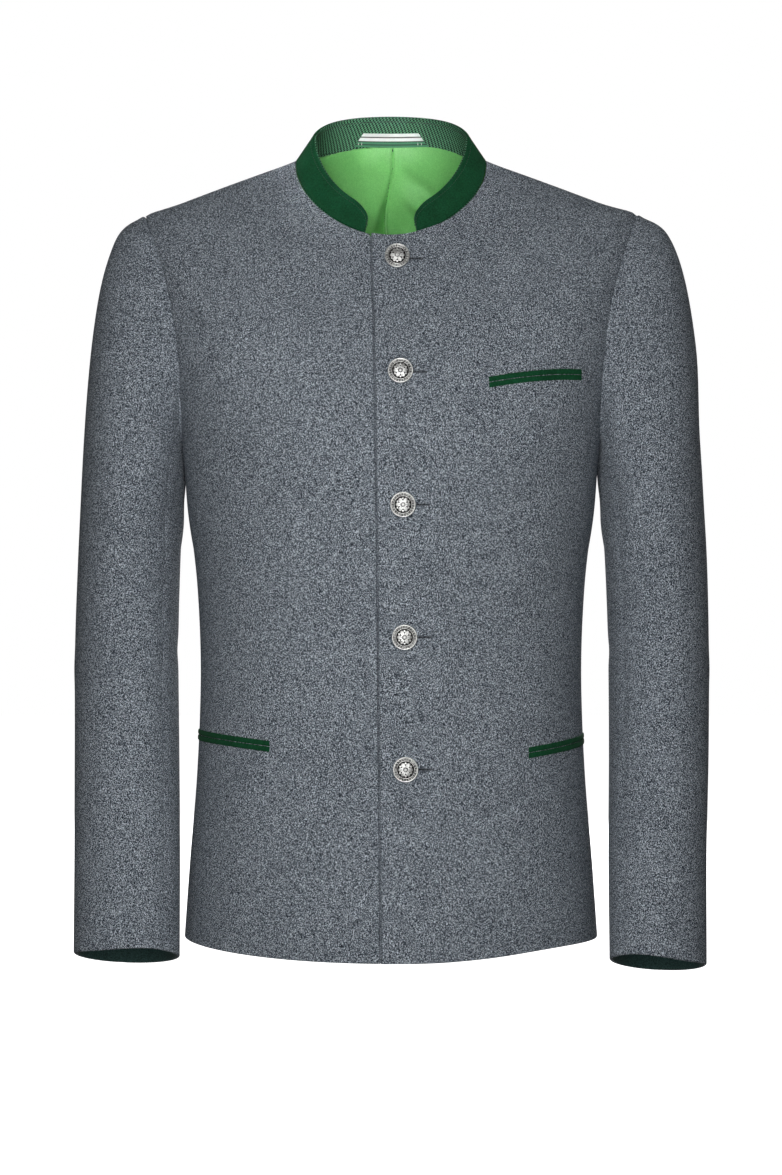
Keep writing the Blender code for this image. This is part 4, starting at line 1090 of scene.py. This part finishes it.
def grains(name, lines, material, pitch, length, thickness, unevenness=0.0, seed=1):
    """A piece of stitches or beads along lines of points."""
    start = np.cumsum([0] + [len(line) for line in lines])
    edges = [(int(first + step), int(first + step + 1))
             for first, line in zip(start, lines) for step in range(len(line) - 1)]
    path = bpy.data.meshes.new(name + " line")
    path.from_pydata(np.concatenate(lines).tolist(), edges, [])
    holder = bpy.data.objects.new(name + " line", path)
    scene.collection.objects.link(holder)
    modifier = holder.modifiers.new("grains", "NODES")
    modifier.node_group = grain_tree
    for label, value in (("Pitch", pitch), ("Length", length), ("Thickness", thickness),
                         ("Unevenness", unevenness), ("Seed", seed), ("Material", material)):
        modifier[grain_slots[label]] = value
    shown = holder.evaluated_get(bpy.context.evaluated_depsgraph_get())
    mesh = bpy.data.meshes.new_from_object(shown)
    mesh.name = name
    bpy.data.objects.remove(holder)
    add_piece(name, mesh)


button_places = []
heights = [BUTTON_TOP_Z, *np.linspace(BUTTON_SECOND_Z, BUTTON_FOOT_Z, BUTTON_COUNT - 1)]
for number, z in enumerate(heights, start=1):
    level = body_level_at(FRONT, 0.0, z)
    distance = button_line(level)
    cloth_out = form_normal(level, FRONT, distance)
    out = unit((1 - BUTTON_DROOP) * cloth_out + BUTTON_DROOP * np.array([0, -1.0, 0]))
    lean = np.linalg.norm(np.cross(cloth_out, out))      # sine of how far it hangs off the cloth
    stand_off = RIM_RADIUS * lean
    shank_foot = (SHANK_CLEAR + SHANK_RADIUS * lean - stand_off) / (cloth_out @ out)
    foot = on_form(level, FRONT, distance) + (LODEN + LAYER_GAP + stand_off) * cloth_out
    across = unit(np.array([1.0, 0, 0]) - out[0] * out)
    up = np.cross(out, across)
    button_places.append((distance, z))
    name = "button_" + str(number)
    piece = button_mesh(name + "_metal", foot, shank_foot, across, up, out)
    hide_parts(name)
    ring = np.linspace(0, 2 * math.pi, 97)[:, None]
    line = foot + BEAD_RING * (np.cos(ring) * across + np.sin(ring) * up) + BEAD_HEIGHT * out
    grains(name + "_beads", [line], silver, pitch=BEAD_PITCH, length=BEAD, thickness=BEAD)


# ---- Buttonholes ---------------------------------------------------------------------------------
# Worked buttonholes run across the left front from under each button towards the side. The slit is
# edged with close stitches of dark thread.
# A near-black sheet in each slit is painted shade for its shadowed opening.
HOLE_START, HOLE_LENGTH, HOLE_GAP, HOLE_STEPS = -0.003, 0.0262, 0.0004, 40
HOLE_EDGE, HOLE_STITCH_PROUD, SLIT_SHADE_SHEET, SLIT_PROUD = 0.0004, 0.0002, 0.0003, 0.00012


def plain_finish(name, constants, scale, dark, pale):
    """A material that varies finely between two shades."""
    material, shader, place = finish_material(name, constants)
    place.join(shader.inputs["Base Color"], place.noise(scale, 1.0, 0.5).tint(dark, pale))
    return material


dark_thread = plain_finish("dark thread", {"Roughness": 0.6, "Sheen Weight": 0.2}, 2500,
                           (0.030, 0.037, 0.048), (0.085, 0.100, 0.120))
# Painted shade: the near-black finish of the sheet in each slit stands in for the shadow there.
slit_painted_shade = plain_finish("shade in the slit", {"Roughness": 1.0}, 900,
                          (0.004, 0.005, 0.007), (0.012, 0.014, 0.018))


def on_left_front(distance, z, out):
    """Points over the left front's outer face."""
    level = body_level_at(FRONT, distance, z)
    return (on_form(level, FRONT, distance)
            + (lap_lift(level, distance) + out)[..., None] * body_normal(level, FRONT, distance))


share = np.linspace(0, 1, HOLE_STEPS)
half = HOLE_GAP * np.sqrt(np.maximum(1 - (2 * share - 1) ** 8, 0))
for number, (distance, z) in enumerate(button_places, start=1):
    name, run = "buttonhole_" + str(number), distance + HOLE_START + HOLE_LENGTH * share
    edge_lines = [on_left_front(run, z + way * (half + HOLE_EDGE), HOLE_STITCH_PROUD)
                  for way in (1, -1)]
    grains(name + "_stitches", edge_lines, dark_thread, pitch=0.00042, length=0.0012,
           thickness=0.00045, unevenness=0.6, seed=number)
    across_slit = z + np.linspace(-1, 1, 5)[:, None] * half[None]
    run = np.broadcast_to(run, across_slit.shape)
    points = on_left_front(run, across_slit, 0.0)
    out = body_normal(body_level_at(FRONT, run, across_slit), FRONT, run)
    # Painted shade: a thin near-black sheet over the slit, a little proud of the left front.
    slit = cloth_shell(name + "_slit", points, out, SLIT_PROUD, SLIT_SHADE_SHEET, (slit_painted_shade,))


# ---- Stitching -----------------------------------------------------------------------------------
# Green thread holds the collar's top edge and closes the middle seam of the lining. White tacks hold
# the ends of the hanger tape.
TACK_Z, TACK_XS, TACK_HALF, TACK_PROUD = 0.0284, (-0.0336, -0.0303, 0.0277, 0.0314), 0.0007, 0.0014
STITCH_SUNK, FACING_STITCH_SUNK, LINING_STITCH_PROUD = 0.00012, 0.0002, 0.0001
LINING_SEAM_FOOT = -0.105

green_thread = plain_finish("green thread", {"Roughness": 0.55, "Sheen Weight": 0.2}, 2500,
                            (0.002, 0.016, 0.008), (0.007, 0.040, 0.020))
white_thread = plain_finish("white thread", {"Roughness": 0.5, "Sheen Weight": 0.2}, 2500,
                            (0.62, 0.66, 0.60), (0.80, 0.82, 0.78))

foot, rise, outward = collar_line()
height = np.linalg.norm(rise, axis=-1)[:, None]
seam = foot + COLLAR_FOOT_GAP * unit(rise) + (1 - TOPSTITCH_BELOW / height) * rise
seam = seam - STITCH_SUNK * outward
inner_seam = seam - (COLLAR_CLOTH + COLLAR_LAYER_GAP + FACING_CLOTH - FACING_STITCH_SUNK) * outward
grains("collar_topstitch", [seam], green_thread, pitch=0.0027, length=0.0022,
       thickness=0.00042, unevenness=0.05, seed=3)
grains("facing_topstitch", [inner_seam], green_thread, pitch=0.0027, length=0.0024,
       thickness=0.0009, unevenness=0.05, seed=4)

tacks = []
for tack_x in TACK_XS:
    foot, rise, outward = collar_frame(BACK, np.full(5, tack_x))
    climb = unit(rise)
    height = TACK_Z - foot[:, 2] + np.linspace(-TACK_HALF, TACK_HALF, 5)
    tacks.append(foot + (height / climb[:, 2])[:, None] * climb - (behind + TACK_PROUD) * outward)
grains("hanger_tacks", tacks, white_thread, pitch=0.00045, length=0.0013,
       thickness=0.0005, unevenness=0.8, seed=5)

seam_points = [[np.interp(0, off, row[:, axis]) for axis in range(3)]
               for row, off in zip(lining_surface, lining_past)
               if row[len(row) // 2, 2] > LINING_SEAM_FOOT]
middle_seam = np.array(seam_points) - np.array([0, LINING + LINING_STITCH_PROUD, 0])
grains("lining_seam", [middle_seam], green_thread, pitch=0.0021, length=0.0019,
       thickness=0.0005, unevenness=0.25, seed=7)
